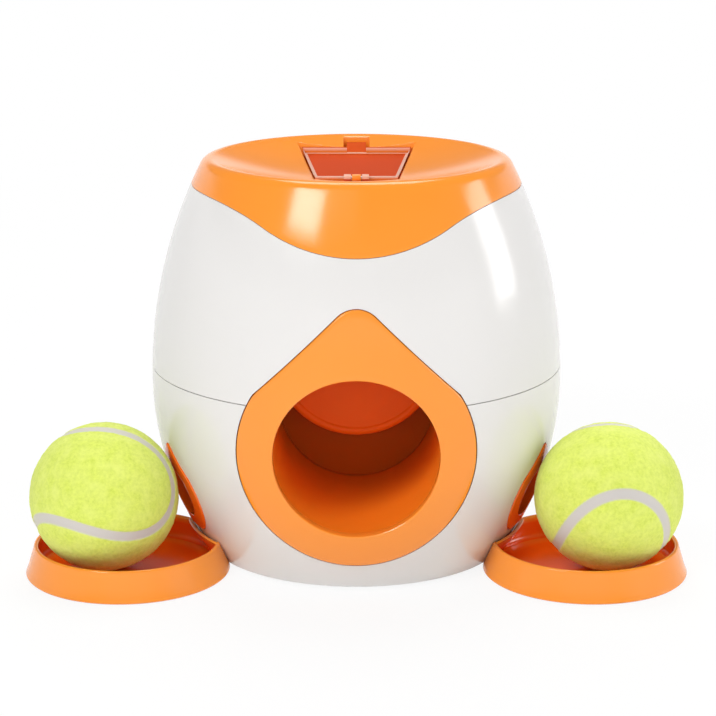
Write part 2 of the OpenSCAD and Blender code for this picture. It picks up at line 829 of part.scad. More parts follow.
// Half angle of a tooth at a radius, for an involute flank
function involute(a) = tan(a) * 180 / PI - a;
function tooth_half_a(teeth, r) = let (
    pitch = gear_module * teeth / 2,
    base = pitch * cos(pressure_a),
    at = r > base ? acos(base / r) : 0
) 90 / teeth - backlash / 4 / pitch * 180 / PI + involute(pressure_a) - involute(at);
function on_circle(r, a) = r * [cos(a), sin(a)];

// One gear tooth that points at an angle, rooted in the gear's body
module tooth(teeth, a) {
    pitch = gear_module * teeth / 2;
    root = pitch - tooth_root * gear_module;
    tip = pitch + tooth_top * gear_module;
    radii = [for (i = [1:flank_steps]) root + (tip - root) * i / flank_steps];
    polygon(concat(
        [on_circle(root - gear_module / 2, a - tooth_half_a(teeth, root))],
        [for (r = radii) on_circle(r, a - tooth_half_a(teeth, r))],
        [for (i = [flank_steps - 1:-1:0]) on_circle(radii[i], a + tooth_half_a(teeth, radii[i]))],
        [on_circle(root - gear_module / 2, a + tooth_half_a(teeth, root))]
    ));
}

// Toothed sector on the flap's axle, with room to run over the flap's whole swing
module sector_gear() {
    step = 360 / sector_teeth;
    root = sector_r - tooth_root * gear_module;
    count = ceil(flap_swing / step) + spare_teeth;
    half_a = (count + spare_teeth + 1) * step / 2;
    middle = gear_lean + (spare_teeth - count) * step / 2;
    color(nylon) along_x(gear_x, gear_x + gear_t) translate([flap_y, flap_z]) difference() {
        union() {
            circle(flap_hub_r);
            intersection() {
                circle(root);
                polygon([[0, 0], on_circle(2 * root, middle - half_a), on_circle(2 * root, middle),
                    on_circle(2 * root, middle + half_a)]);
            }
            for (i = [-count:spare_teeth]) tooth(sector_teeth, gear_lean + i * step);
        }
        circle(axle_r + axle_fit);
    }
}

// Pinion on the drum's axle
module drum_pinion() {
    step = 360 / pinion_teeth;
    color(nylon) along_x(gear_x, gear_x + gear_t) translate([drum_y, drum_z]) difference() {
        union() {
            circle(pinion_r - tooth_root * gear_module);
            for (i = [0:pinion_teeth - 1]) tooth(pinion_teeth, gear_lean + 180 + (i + 0.5) * step);
        }
        circle(axle_r + axle_fit);
    }
}

// Drum with one treat pocket, which faces the hopper at rest
module treat_drum() {
    mouth = [drum_r * tan(drum_pocket_a), drum_r];
    floor_half = drum_pocket_floor * tan(drum_pocket_a);
    color(deep_orange) difference() {
        x_pin(drum_y, drum_z, drum_r, -drum_half, drum_half);
        along_x(-drum_pocket_half, drum_pocket_half) translate([drum_y, drum_z])
            polygon([[-floor_half, drum_pocket_floor], [floor_half, drum_pocket_floor], mouth,
                [-mouth[0], mouth[1]]]);
        x_pin(drum_y, drum_z, axle_r + axle_fit, -far / 2, far / 2);
    }
}

// Roof behind the ball pocket that parts the treats to both sides
module treat_splitter() {
    front = pocket_end + pocket_wall;
    eave_z = ridge_z - splitter_half * tan(splitter_a);
    color(deep_orange) {
        along_y(front, splitter_back) polygon([[0, ridge_z], [splitter_half, eave_z],
            [splitter_half, eave_z - chute_wall], [0, ridge_z - chute_wall / cos(splitter_a)],
            [-splitter_half, eave_z - chute_wall], [-splitter_half, eave_z]]);
        along_y(splitter_back, splitter_back + chute_wall) translate([-splitter_half, eave_z - chute_wall])
            square([2 * splitter_half, ridge_z - eave_z + 2 * chute_wall]);
        translate([-chute_wall / 2, front, eave_z - chute_wall])
            cube([chute_wall, splitter_back - front + chute_wall, ridge_z - eave_z]);
    }
}

// Places children at the lower end of a chute, with X running up the slope
module chute_frame() {
    translate([chute_tail[0], chute_tail[1], chute_tail_z]) rotate([0, 0, chute_turn])
        rotate([0, -chute_slope, 0]) children();
}

// Open channel from the splitter's eaves down to an outlet, on a leg that stands on the floor
module chute(side) {
    overrun = chute_w;
    half = chute_w / 2 + chute_wall;
    color(deep_orange) mirror([side > 0 ? 0 : 1, 0, 0]) intersection() {
        difference() {
            union() {
                chute_frame() translate([-overrun, -half, -chute_wall])
                    cube([chute_l + overrun, 2 * half, chute_h + chute_wall]);
                difference() {
                    translate([chute_tail[0], chute_tail[1], floor_z]) rotate([0, 0, chute_turn])
                        translate([(chute_run - leg_l) / 2, -chute_wall / 2, 0])
                            cube([leg_l, chute_wall, chute_head_z]);
                    chute_frame() translate([-overrun, -far / 2, -chute_wall / 2]) cube([far, far, far]);
                }
            }
            chute_frame() translate([-2 * overrun, -chute_w / 2, 0])
                cube([chute_l + 2 * overrun - chute_wall, chute_w, far]);
            rotate([0, 0, port_a]) translate([-far / 2, collar_y + seat_gap - far, 0]) cube([far, far, far]);
        }
        barrel(shell_wall + 2 * seat_gap, floor_z, seam_z + far);
    }
}

// Front view of the tongue that a tray pushes into the lower shell
module tongue_outline(grow) {
    translate([-tongue_half - grow, floor_z + 2 * panel_gap - grow])
        square([2 * (tongue_half + grow), tongue_t + 2 * grow]);
}

// Round tray with inward-leaning wall, cut to the barrel and closed against it, with its tongue
module tray(side) {
    color(orange) at_port(side) {
        difference() {
            translate([0, -tray_d, 0]) rotate_extrude() difference() {
                union() {
                    polygon([[0, 0], [tray_foot_r, 0], [tray_rim_r, tray_h - tray_wall / 2],
                        [tray_rim_r - tray_wall, tray_h - tray_wall / 2], [0, tray_h - tray_wall / 2]]);
                    translate([tray_rim_r - tray_wall / 2, tray_h - tray_wall / 2]) circle(tray_wall / 2);
                }
                polygon([[0, tray_floor], [tray_foot_r - tray_foot_w, tray_floor],
                    [tray_rim_r - tray_wall, tray_h - tray_wall / 2], [0, tray_h - tray_wall / 2]]);
                translate([-far, 0]) square([far, far]);
            }
            barrel(-tray_gap, -cut, seam_z);
        }
        intersection() {
            barrel_wall(-tray_gap - tray_wall, -tray_gap, 0, tray_h - tray_wall / 2);
            translate([0, -tray_d, 0]) cylinder(r1 = tray_foot_r, r2 = tray_rim_r, h = tray_h);
        }
        intersection() {
            along_y(-barrel_at(floor_z) - tray_wall - tray_gap, tongue_reach - barrel_at(floor_z))
                tongue_outline(0);
            barrel(-tray_gap - tray_wall / 2, floor_z, seam_z);
        }
    }
}

// Places children at the middle of a ball that rests on a tray
module at_ball(side) {
    at_port(side) translate([0, -ball_d, ball_z]) children();
}

module ball_felt(side) {
    color(felt_green) at_ball(side) difference() {
        sphere(ball_r);
        sphere(ball_r - felt_t);
    }
}

module ball_core(side) {
    color(rubber_black) at_ball(side) difference() {
        sphere(ball_r - felt_t - axle_fit);
        sphere(ball_r - felt_t - core_t);
    }
}

module base_screw_places() {
    for (s = [-1, 1], y = [base_screw_front, base_screw_back]) translate([s * base_screw_x, y, 0]) children();
}

module hopper_screw_places() {
    for (s = [-1, 1], y = [hopper_screw_front, hopper_screw_back]) translate([s * hopper_screw_x, y, 0])
        children();
}

module foot_places() {
    for (sx = [-1, 1], sy = [-1, 1]) translate([sx * foot_x, sy * foot_y, 0]) children();
}

// Screw with its head at the bottom
module screw(l) {
    cylinder(r = screw_head_r, h = screw_head_t);
    cylinder(r = screw_r, h = screw_head_t + l);
}

module base_screws() {
    head_z = foot_lift + floor_t / 2 - screw_head_t;
    color(steel) base_screw_places() translate([0, 0, head_z]) screw(screw_l - cut);
}

module hopper_screws() {
    color(steel) hopper_screw_places() translate([0, 0, hopper_top - hopper_wall - screw_head_t])
        screw(hopper_screw_l);
}

module rubber_feet() {
    color(rubber_black) foot_places() cylinder(r = foot_r, h = foot_lift + foot_seat);
}

lower_shell();
upper_shell();
top_cap();
treat_lid();
lid_pin();
hopper();
front_bezel();
ball_pocket();
trigger_flap();
axle(flap_y, flap_z);  // flap_axle
sector_gear();
treat_drum();
axle(drum_y, drum_z);  // drum_axle
drum_pinion();
treat_splitter();
chute(-1);  // left_chute
chute(1);  // right_chute
port_bezel(-1);  // left_port_bezel
port_bezel(1);  // right_port_bezel
tray(-1);  // left_tray
tray(1);  // right_tray
ball_felt(-1);  // left_ball_felt
ball_core(-1);  // left_ball_core
ball_felt(1);  // right_ball_felt
ball_core(1);  // right_ball_core
base_screws();
hopper_screws();
rubber_feet();
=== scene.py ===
import math
import bmesh
import bpy
from mathutils import Matrix, Quaternion, Vector, noise
from mathutils.kdtree import KDTree


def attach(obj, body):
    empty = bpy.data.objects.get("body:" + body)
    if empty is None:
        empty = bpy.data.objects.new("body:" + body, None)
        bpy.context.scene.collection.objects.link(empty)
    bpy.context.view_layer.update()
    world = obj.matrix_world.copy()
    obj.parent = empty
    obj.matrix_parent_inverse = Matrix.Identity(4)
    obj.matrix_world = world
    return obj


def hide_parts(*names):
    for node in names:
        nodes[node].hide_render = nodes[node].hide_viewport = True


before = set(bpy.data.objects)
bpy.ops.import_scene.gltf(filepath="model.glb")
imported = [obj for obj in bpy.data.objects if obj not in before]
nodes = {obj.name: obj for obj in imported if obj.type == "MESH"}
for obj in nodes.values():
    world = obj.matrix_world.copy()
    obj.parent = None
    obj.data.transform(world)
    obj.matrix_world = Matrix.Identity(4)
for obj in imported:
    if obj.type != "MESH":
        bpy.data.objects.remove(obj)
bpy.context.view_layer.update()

scene = bpy.context.scene
mm = 0.001
print("frame loaded:", len(nodes), "nodes")


# Colours and nodes

def linear(hexColour):
    channels = [int(hexColour[i:i + 2], 16) / 255 for i in (1, 3, 5)]
    return [c / 12.92 if c <= 0.04045 else ((c + 0.055) / 1.055) ** 2.4 for c in channels] + [1.0]


def addNode(tree, kind, settings=None, links=None):
    node = tree.nodes.new(kind)
    for name, value in (settings or {}).items():
        if isinstance(name, int) or name in node.inputs:
            node.inputs[name].default_value = value
        else:
            setattr(node, name, value)
    for socket, source in (links or {}).items():
        tree.links.new(source, node.inputs[socket])
    return node


def newMaterial(name):
    material = bpy.data.materials.new(name)
    material.use_nodes = True
    tree = material.node_tree
    tree.nodes.clear()
    return material, tree


def perMetre(sizeMm):
    return 1 / (sizeMm * mm)


def objectPlace(tree):
    return addNode(tree, "ShaderNodeTexCoord").outputs["Object"]


def noiseOf(tree, place, sizeMm, detail, roughness=0.5):
    return addNode(tree, "ShaderNodeTexNoise", {"Scale": perMetre(sizeMm), "Detail": detail, "Roughness": roughness},
                   {"Vector": place}).outputs["Fac"]


def attributeOf(tree, name):
    return addNode(tree, "ShaderNodeAttribute", {"attribute_name": name}).outputs["Fac"]


def spread(tree, value, ends, start=(0.0, 1.0)):
    # a value drawn from one range to another
    return addNode(tree, "ShaderNodeMapRange", {"From Min": start[0], "From Max": start[1], "To Min": ends[0],
                                                "To Max": ends[1]}, {"Value": value}).outputs[0]


def mathOf(tree, operation, first, second):
    return addNode(tree, "ShaderNodeMath", {"operation": operation}, {0: first, 1: second}).outputs[0]


def mixColour(tree, share, first, second):
    # each colour is a hex text or a socket
    node = addNode(tree, "ShaderNodeMix", {"data_type": "RGBA"}, {0: share})
    for socket, colour in ((6, first), (7, second)):
        if isinstance(colour, str):
            node.inputs[socket].default_value = linear(colour)
        else:
            tree.links.new(colour, node.inputs[socket])
    return node.outputs[2]


def mixShader(tree, share, first, second):
    return addNode(tree, "ShaderNodeMixShader", None, {0: share, 1: first.outputs[0], 2: second.outputs[0]})


def surface(tree, shader):
    addNode(tree, "ShaderNodeOutputMaterial", None, {"Surface": shader.outputs[0]})


plastic = {"ior": 1.54, "peelDepth": 0.02, "driftDetail": 2.0, "hazeDetail": 3.0, "peelDetail": 1.0}


def mouldedPlastic(name, look):
    # injection-moulded ABS: clean gloss, a faint orange peel from the tool, slow drift of shade where the melt cooled;
    # some looks add painted shade in a hollow or at a closed end
    material, tree = newMaterial(name)
    place = objectPlace(tree)
    drift = noiseOf(tree, place, look["driftMm"], plastic["driftDetail"])
    shade = mixColour(tree, drift, look["colour"], look["cooled"])
    if "paintedHollowShade" in look:    # painted shade: the hollow side of the dish is drawn a deeper red-orange, where it lies in shade
        shade = mixColour(tree, attributeOf(tree, "paintedHollowShade"), shade, look["paintedHollowShade"])
    if "paintedEndShade" in look:    # painted shade: the closed end of the deep moulding is drawn darker, where it lies in shadow
        depth = addNode(tree, "ShaderNodeSeparateXYZ", None, {0: place}).outputs["Y"]
        end = spread(tree, depth, (0.0, 1.0), (look["endFrom"] * mm, look["endAt"] * mm))
        shade = mixColour(tree, end, shade, look["paintedEndShade"])
    gloss = spread(tree, noiseOf(tree, place, look["hazeMm"], plastic["hazeDetail"]), look["roughness"])
    bump = addNode(tree, "ShaderNodeBump", {"Strength": look["peelStrength"], "Distance": plastic["peelDepth"] * mm},
                   {"Height": noiseOf(tree, place, look["peelMm"], plastic["peelDetail"])})
    surface(tree, addNode(tree, "ShaderNodeBsdfPrincipled",
                          {"IOR": plastic["ior"], "Specular IOR Level": look["specular"]},
                          {"Base Color": shade, "Roughness": gloss, "Normal": bump.outputs[0]}))
    return material


whiteLook = {"colour": "#e8e6e4", "cooled": "#e5e3e1", "driftMm": 60, "hazeMm": 8, "roughness": (0.14, 0.2),
             "peelMm": 1.6, "peelStrength": 0.10, "specular": 0.5}
orangeLook = {"colour": "#ff9a34", "cooled": "#fe962e", "driftMm": 40, "hazeMm": 6, "roughness": (0.13, 0.19),
              "peelMm": 1.4, "peelStrength": 0.12, "specular": 0.5}
# the pocket's end-wall colour is painted shade for the shadow at its closed end
pocketLook = {"colour": "#ff9226", "cooled": "#fe8e20", "driftMm": 40, "hazeMm": 5, "roughness": (0.3, 0.4),
              "peelMm": 1.2, "peelStrength": 0.2, "specular": 0.1, "paintedEndShade": "#c05a10", "endFrom": 3, "endAt": 5.5}
# painted shade: the flap is the pocket's orange, drawn darker and redder for the shadow inside the pocket
paintedShadeFlapLook = dict(pocketLook, colour="#f0701a", cooled="#ec6b14")
# the tray's hollow colour is painted shade
trayLook = dict(orangeLook, paintedHollowShade="#ff660a")
# painted shade: the port bezels are the housing's orange, drawn deeper and redder for the shade they lie in
paintedShadePortLook = dict(orangeLook, colour="#f9701a", cooled="#f66a14")
# painted shade: the parts inside the housing are its orange, drawn deeper for the shade they lie in
paintedShadeInnerLook = {"colour": "#ee5a14", "cooled": "#e65210", "driftMm": 30, "hazeMm": 5, "roughness": (0.36, 0.46),
             "peelMm": 1.2, "peelStrength": 0.2, "specular": 0.2}
nylonLook = {"colour": "#efeadd", "cooled": "#e9e3d4", "driftMm": 12, "hazeMm": 3, "roughness": (0.38, 0.48),
             "peelMm": 0.8, "peelStrength": 0.2, "specular": 0.5}
whiteAbs = mouldedPlastic("ABS_white_gloss", whiteLook)
orangeAbs = mouldedPlastic("ABS_orange_gloss", orangeLook)
pocketAbs = mouldedPlastic("ABS_orange_satin", pocketLook)
paintedShadeFlapAbs = mouldedPlastic("ABS_orange_satin_painted_shade", paintedShadeFlapLook)
trayAbs = mouldedPlastic("ABS_orange_dish", trayLook)
paintedShadePortAbs = mouldedPlastic("ABS_orange_gloss_painted_shade", paintedShadePortLook)
paintedShadeInnerAbs = mouldedPlastic("ABS_orange_satin_painted_deep_shade", paintedShadeInnerLook)
nylon = mouldedPlastic("nylon_natural", nylonLook)

# the edge colour is a painted highlight on the lid's border and rims
lidLook = {"tint": "#f0a58a", "window": ("#e6562a", 0.78), "flange": ("#fb8c34", 0.65), "edge": ("#ffccb6", 0.8),
           "roughness": (0.05, 0.12), "hazeMm": 5, "hazeDetail": 4.0, "shine": (1.1, 1.25)}


def clearPolycarbonate(look):
    # thin tinted sheet: shows a share of what lies under it and is rose red itself; its rims are painted pale as a
    # highlight, and a higher Fresnel IOR there also makes them reflect more
    material, tree = newMaterial("polycarbonate_tinted")
    gloss = spread(tree, noiseOf(tree, objectPlace(tree), look["hazeMm"], look["hazeDetail"]), look["roughness"])
    border = attributeOf(tree, "border")
    ramp = addNode(tree, "ShaderNodeValToRGB", None, {"Fac": border})    # alpha is how much hides what lies under
    ramp.color_ramp.elements.new(0.5)
    for stop, part in zip(ramp.color_ramp.elements, ("window", "flange", "edge")):
        stop.color = linear(look[part][0])[:3] + [look[part][1]]
    through = addNode(tree, "ShaderNodeBsdfTransparent", {"Color": linear(look["tint"])})
    own = addNode(tree, "ShaderNodeBsdfDiffuse", None, {"Color": ramp.outputs["Color"]})
    sheet = mixShader(tree, ramp.outputs["Alpha"], through, own)
    shine = addNode(tree, "ShaderNodeBsdfGlossy", None, {"Roughness": gloss})
    share = addNode(tree, "ShaderNodeFresnel", None, {"IOR": spread(tree, border, look["shine"])}).outputs[0]
    surface(tree, mixShader(tree, share, sheet, shine))
    return material


clearPc = clearPolycarbonate(lidLook)

steelLook = {"colour": "#c9cacc", "scratchMm": 0.5, "scratchDetail": 2.0, "stretch": (0.04, 1, 1),
             "roughness": (0.24, 0.4)}


def drawnSteel(look):
    # drawn steel wire: bright, with fine lengthwise draw marks
    material, tree = newMaterial("steel_drawn")
    along = addNode(tree, "ShaderNodeMapping", {"Scale": look["stretch"]}, {"Vector": objectPlace(tree)}).outputs[0]
    gloss = spread(tree, noiseOf(tree, along, look["scratchMm"], look["scratchDetail"]), look["roughness"])
    surface(tree, addNode(tree, "ShaderNodeBsdfPrincipled", {"Base Color": linear(look["colour"]), "Metallic": 1.0},
                          {"Roughness": gloss}))
    return material


steel = drawnSteel(steelLook)

rubberLook = {"colour": "#2b2b2d", "worn": "#38383a", "grainMm": 0.7, "grainDetail": 3.0, "grainStrength": 0.4,
              "grainDepth": 0.05, "roughness": 0.75, "ior": 1.52}


def mouldedRubber(look):
    # matt black rubber with a fine grain and slight bloom
    material, tree = newMaterial("rubber_black")
    grain = noiseOf(tree, objectPlace(tree), look["grainMm"], look["grainDetail"])
    bump = addNode(tree, "ShaderNodeBump", {"Strength": look["grainStrength"], "Distance": look["grainDepth"] * mm},
                   {"Height": grain})
    surface(tree, addNode(tree, "ShaderNodeBsdfPrincipled", {"Roughness": look["roughness"], "IOR": look["ior"]},
                          {"Base Color": mixColour(tree, grain, look["colour"], look["worn"]),
                           "Normal": bump.outputs[0]}))
    return material


rubber = mouldedRubber(rubberLook)

feltLook = {"nap": "#e2f25a", "deep": "#c3d83c", "pale": "#eef889", "seam": "#cfcac6", "napMm": 1.5, "napDetail": 6.0,
            "napRoughness": 0.75, "napRange": (0.36, 0.64), "clumpMm": 6, "clumpDetail": 3.0, "roughness": (0.95, 0.6),
            "bump": (0.9, 0.1), "bumpDepth": 0.5, "sheen": 0.35, "sheenRoughness": 0.5, "sheenTint": "#f4fbc0",
            "specular": 0.2}


def ballFelt(look):
    # needled wool and nylon felt: soft nap in clumps, matt, pale at the fibre ends; the seam is grey cured rubber
    material, tree = newMaterial("felt_tennis")
    place = objectPlace(tree)
    # the nap is drawn coarser than its 0.1 mm fibres, so that it shows
    nap = noiseOf(tree, place, look["napMm"], look["napDetail"], look["napRoughness"])
    fibre = mixColour(tree, spread(tree, nap, (0.0, 1.0), look["napRange"]), look["deep"], look["nap"])
    pale = mixColour(tree, noiseOf(tree, place, look["clumpMm"], look["clumpDetail"]), fibre, look["pale"])
    seam = attributeOf(tree, "seam")
    bump = addNode(tree, "ShaderNodeBump", {"Distance": look["bumpDepth"] * mm},
                   {"Height": nap, "Strength": spread(tree, seam, look["bump"])})
    surface(tree, addNode(tree, "ShaderNodeBsdfPrincipled",
                          {"Sheen Weight": look["sheen"], "Sheen Roughness": look["sheenRoughness"],
                           "Sheen Tint": linear(look["sheenTint"]), "Specular IOR Level": look["specular"]},
                          {"Base Color": mixColour(tree, seam, pale, look["seam"]), "Normal": bump.outputs[0],
                           "Roughness": spread(tree, seam, look["roughness"])}))
    return material


felt = ballFelt(feltLook)
print("materials ready")


# Shared shapes, in millimetres until a piece is finished

hair = 1e-4    # lengths below this are none
sharpTurn = 0.6    # edges that turn more than this, in radians, are rounded
barrel = {"radius": 91.6, "widest": 79.0, "upperCurve": 211.0, "lowerCurve": 135.5}


def barrelRadius(z, inset=0.0):
    curve = barrel["upperCurve"] if z > barrel["widest"] else barrel["lowerCurve"]
    return barrel["radius"] - curve + math.sqrt((curve - inset) ** 2 - (z - barrel["widest"]) ** 2)


def meshObject(bm, name):
    mesh = bpy.data.meshes.new(name)
    bm.to_mesh(mesh)
    bm.free()
    made = bpy.data.objects.new(name, mesh)
    scene.collection.objects.link(made)
    return made


def finishPiece(name, bm, body, material, replaced, sharpDegrees=32):
    bmesh.ops.scale(bm, vec=(mm, mm, mm), verts=bm.verts)
    piece = meshObject(bm, name)
    piece.data.materials.append(material)
    piece.data.shade_smooth()
    piece.data.set_sharp_from_angle(angle=math.radians(sharpDegrees))
    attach(piece, body)
    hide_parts(*replaced)


def addLoop(bm, count, place):
    ring = bmesh.ops.create_circle(bm, cap_ends=False, radius=1, segments=count)["verts"]
    for index, vert in enumerate(ring):
        vert.co = place(index)
    return [e for e in bm.edges if e.verts[0] in ring and e.verts[1] in ring]


def loopThrough(bm, count, places):
    # rings of one count, bridged in order
    loops = [addLoop(bm, count, place) for place in places]
    for one, two in zip(loops, loops[1:]):
        bmesh.ops.bridge_loops(bm, edges=one + two)
    return loops


def newVerts(made):
    return [g for g in made["geom"] if isinstance(g, bmesh.types.BMVert)]


def roundEdges(bm, edges, size, segments=3):
    bmesh.ops.bevel(bm, geom=edges, offset=size, offset_type="OFFSET", segments=segments, profile=0.5,
                    affect="EDGES", clamp_overlap=True, material=-1)


def outward(bm):
    bmesh.ops.remove_doubles(bm, verts=bm.verts, dist=0.001)
    bmesh.ops.delete(bm, geom=[e for e in bm.edges if not e.link_faces], context="EDGES")
    bmesh.ops.delete(bm, geom=[v for v in bm.verts if not v.link_faces], context="VERTS")
    bmesh.ops.recalc_face_normals(bm, faces=bm.faces)


# Teardrop bezels that follow the barrel

def teardropReach(turn, shape):
    r, flank, tip, rise = shape["r"], shape["flank"], shape["tip"], shape["rise"]
    a = math.asin((flank - tip) / rise)
    turn = abs(turn)
    if turn < math.atan2(tip * math.cos(a), rise + tip * math.sin(a)):
        return rise * math.cos(turn) + math.sqrt(tip ** 2 - (rise * math.sin(turn)) ** 2)
    reach = straight = flank / max(math.sin(turn + a), 0.2)    # kept off the far side, where no flank is
    if turn > math.pi / 2 - a:    # the flank bends softly into the round
        near = max(shape["shoulder"] - abs(straight - r), 0)
        reach = min(r, straight) - near * near / (4 * shape["shoulder"])
    if math.cos(turn) < 0:
        reach = min(reach, shape["sill"] / -math.cos(turn))
    return reach


def bezelPiece(name, shape, turnDegrees, material, replaced):
    bm = bmesh.new()
    count = shape["steps"]

    def turnAt(index):
        t = 2 * index / count - 1
        return math.pi * t * abs(t) ** 0.5    # closer together at the tip

    def onFace(share, inset):
        def place(index):
            turn = turnAt(index)
            reach = shape["hole"] + share * (teardropReach(turn, shape) - shape["hole"])
            x, z = reach * math.sin(turn), shape["z"] + reach * math.cos(turn)
            return Vector((x, -math.sqrt(barrelRadius(z, inset) ** 2 - x * x), z))
        return place

    def behind(radius, y):
        def place(index):
            turn = turnAt(index)
            return Vector((radius * math.sin(turn), y, shape["z"] + radius * math.cos(turn)))
        return place

    inner = [onFace(0, shape["depth"])] if shape["collarEnd"] is None else [
        behind(shape["hole"] + shape["collarWall"], -shape["collarEnd"]), behind(shape["hole"], -shape["collarEnd"])]
    face = [onFace(k / shape["rows"], -shape["proud"]) for k in range(shape["rows"] + 1)]
    sides = [onFace(1, shape["sideDepth"])]
    if shape["collarEnd"]:
        sides.append(onFace(shape["collarFoot"], shape["depth"]))    # foot of the collar behind the plate
    loops = loopThrough(bm, count, inner + face + sides)
    bmesh.ops.bridge_loops(bm, edges=loops[-1] + loops[0])
    bmesh.ops.recalc_face_normals(bm, faces=bm.faces)
    outerEdge = loops[len(inner) + shape["rows"]]
    roundEdges(bm, loops[len(inner)], shape["holeRound"])
    roundEdges(bm, [e for e in outerEdge if e.is_valid], shape["edgeRound"])
    outward(bm)
    bmesh.ops.rotate(bm, cent=(0, 0, 0), matrix=Matrix.Rotation(math.radians(turnDegrees), 3, "Z"), verts=bm.verts)
    finishPiece(name, bm, "housing", material, replaced)


frontShape = {"hole": 35.0, "z": 64.0, "r": 50.4, "flank": 48.9, "tip": 11.3, "rise": 52.6, "shoulder": 0.8, "sill": 99,
              "proud": 0.6, "depth": 4.0, "sideDepth": 2.5, "rows": 8, "steps": 224, "holeRound": 1.0, "edgeRound": 0.6,
              "collarEnd": None}
portShape = {"hole": 11.0, "z": 33.0, "r": 18.0, "flank": 17.5, "tip": 2.9, "rise": 19.8, "shoulder": 0.8, "sill": 16.4,
             "proud": 0.6, "depth": 4.0, "sideDepth": 2.5, "rows": 5, "steps": 144, "holeRound": 0.6, "edgeRound": 0.4,
             "collarEnd": 70.05, "collarWall": 2.0, "collarFoot": 0.25}
portTurn = 67.5
bezelPiece("front_bezel_moulded", frontShape, 0, orangeAbs, ["front_bezel"])
bezelPiece("left_port_bezel_moulded", portShape, -portTurn, paintedShadePortAbs, ["left_port_bezel"])
bezelPiece("right_port_bezel_moulded", portShape, portTurn, paintedShadePortAbs, ["right_port_bezel"])
print("bezels ready")


# Cap with its wavy skirt, rounded rim and dish

cap = {"skirt": 166.5, "dip": 148.2, "dipRadius": 80.0, "waveHalf": 70.0, "rim": 177.3, "rimRound": 5.0,
       "dishCurve": 182.0, "wall": 2.2, "steps": 240, "skirtRows": 14, "rimRows": 12, "dishRows": 20,
       "edgeRound": 0.25, "hemDrop": 0.22, "seatRound": 0.3, "lidGap": 0.4, "seatGap": 0.25, "ledge": 2.6, "draft": 24,
       "flareTop": 10, "hopperTop": 158.0, "collar": 4.0, "collarRows": 24, "pocketWall": 2, "pocketLap": 1,
       "pocketHigh": (1.2, 3.4), "cutLap": 2, "lugGap": 0.2, "lugFoot": 1}
lid = {"front": 2.0, "length": 47.0, "frontHalf": 17.9, "backHalf": 24.2, "tilt": 5, "thick": 2.0, "border": 1.2,
       "frontBorder": 0.6, "step": 0.6, "tabHalf": 4.4, "tab": 9.5, "tabRise": 2.6, "tabShadeFrom": 0.8, "flange": 2.5,
       "flangeWall": 1.0, "flangeGap": 0.1, "flangeRim": 0.5, "flangeDrop": -0.6, "flangeFront": 1, "recessHalf": 6.0,
       "recess": 12.0, "recessDepth": 2.4, "knuckle": 1.7, "knuckleSteps": 40, "knuckleHalf": 2.0, "hingeHalf": 5.6,
       "edgeRound": 0.25, "toolReach": 20, "toolDepth": 5, "toolHalf": 40}
flare = math.tan(math.radians(cap["draft"]))
rimZ = cap["rim"] - cap["rimRound"]
rimRadius = barrel["radius"] - barrel["upperCurve"] + math.sqrt(
    (barrel["upperCurve"] - cap["rimRound"]) ** 2 - (rimZ - barrel["widest"]) ** 2)
dishZ = rimZ + math.sqrt((cap["dishCurve"] + cap["rimRound"]) ** 2 - rimRadius ** 2)


def dishAt(distance, depth=0.0):
    return dishZ - math.sqrt((cap["dishCurve"] + depth) ** 2 - distance ** 2)


# the lid's own frame: its top face, measured back from the middle of its front edge
onLid = Matrix.Translation((0, lid["front"], dishAt(math.hypot(lid["frontHalf"], lid["front"])))) @ Matrix.Rotation(
    math.radians(lid["tilt"]), 4, "X")
hinge = Vector((0, lid["knuckle"] + cap["lidGap"], lid["knuckle"] + cap["seatGap"] / 2 - lid["thick"]))
dipAbove = cap["dip"] + cap["dipRadius"] - cap["skirt"]
shoulder = (cap["waveHalf"] ** 2 + dipAbove ** 2 - cap["dipRadius"] ** 2) / (2 * (cap["dipRadius"] - dipAbove))
meetX = cap["waveHalf"] * cap["dipRadius"] / (cap["dipRadius"] + shoulder)


def waveAt(x):
    x = abs(x)
    if x >= cap["waveHalf"]:
        return cap["skirt"]
    if x >= meetX:
        return cap["skirt"] - shoulder + math.sqrt(shoulder ** 2 - (x - cap["waveHalf"]) ** 2)
    return cap["dip"] + cap["dipRadius"] - math.sqrt(cap["dipRadius"] ** 2 - x * x)


def skirtEdge(turn):
    # height of the skirt's edge, seen from the front, at a turn about the barrel's axis
    z = cap["skirt"]
    if math.cos(turn) > 0:
        for _ in range(8):    # settles well before the eighth round
            z = waveAt(barrelRadius(z) * math.sin(turn))
    return z - cap["hemDrop"]    # nearly closes the line to the shell


def lidHalf(v):
    return lid["frontHalf"] + (lid["backHalf"] - lid["frontHalf"]) * v / lid["length"]


def lidPlan(grow, v0=0.0):
    # corners of the lid's plan, set out on all sides
    out = grow * math.hypot(1, (lid["backHalf"] - lid["frontHalf"]) / lid["length"])
    near, far = v0 - grow, lid["length"] + grow
    return [(s * (lidHalf(v) + out), v) for v in (near, far) for s in (-1, 1)]


def cutGrid(bm, faces, planes):
    # lines across the given faces only
    for spot, normal in planes:
        faces = [f for f in faces if f.is_valid]
        geom = faces + list({e for f in faces for e in f.edges}) + list({v for f in faces for v in f.verts})
        found = bmesh.ops.bisect_plane(bm, geom=geom, dist=1e-5, plane_co=spot, plane_no=normal)
        faces = [g for g in found["geom"] if isinstance(g, bmesh.types.BMFace)]
    return faces


def hullPiece(corners):
    # flat-sided body round a few corners
    bm = bmesh.new()
    spots = [bmesh.ops.create_vert(bm, co=corner)["vert"][0] for corner in corners]
    bmesh.ops.convex_hull(bm, input=spots)
    bmesh.ops.dissolve_limit(bm, angle_limit=0.001, verts=bm.verts, edges=bm.edges)
    bmesh.ops.recalc_face_normals(bm, faces=bm.faces)
    return bm


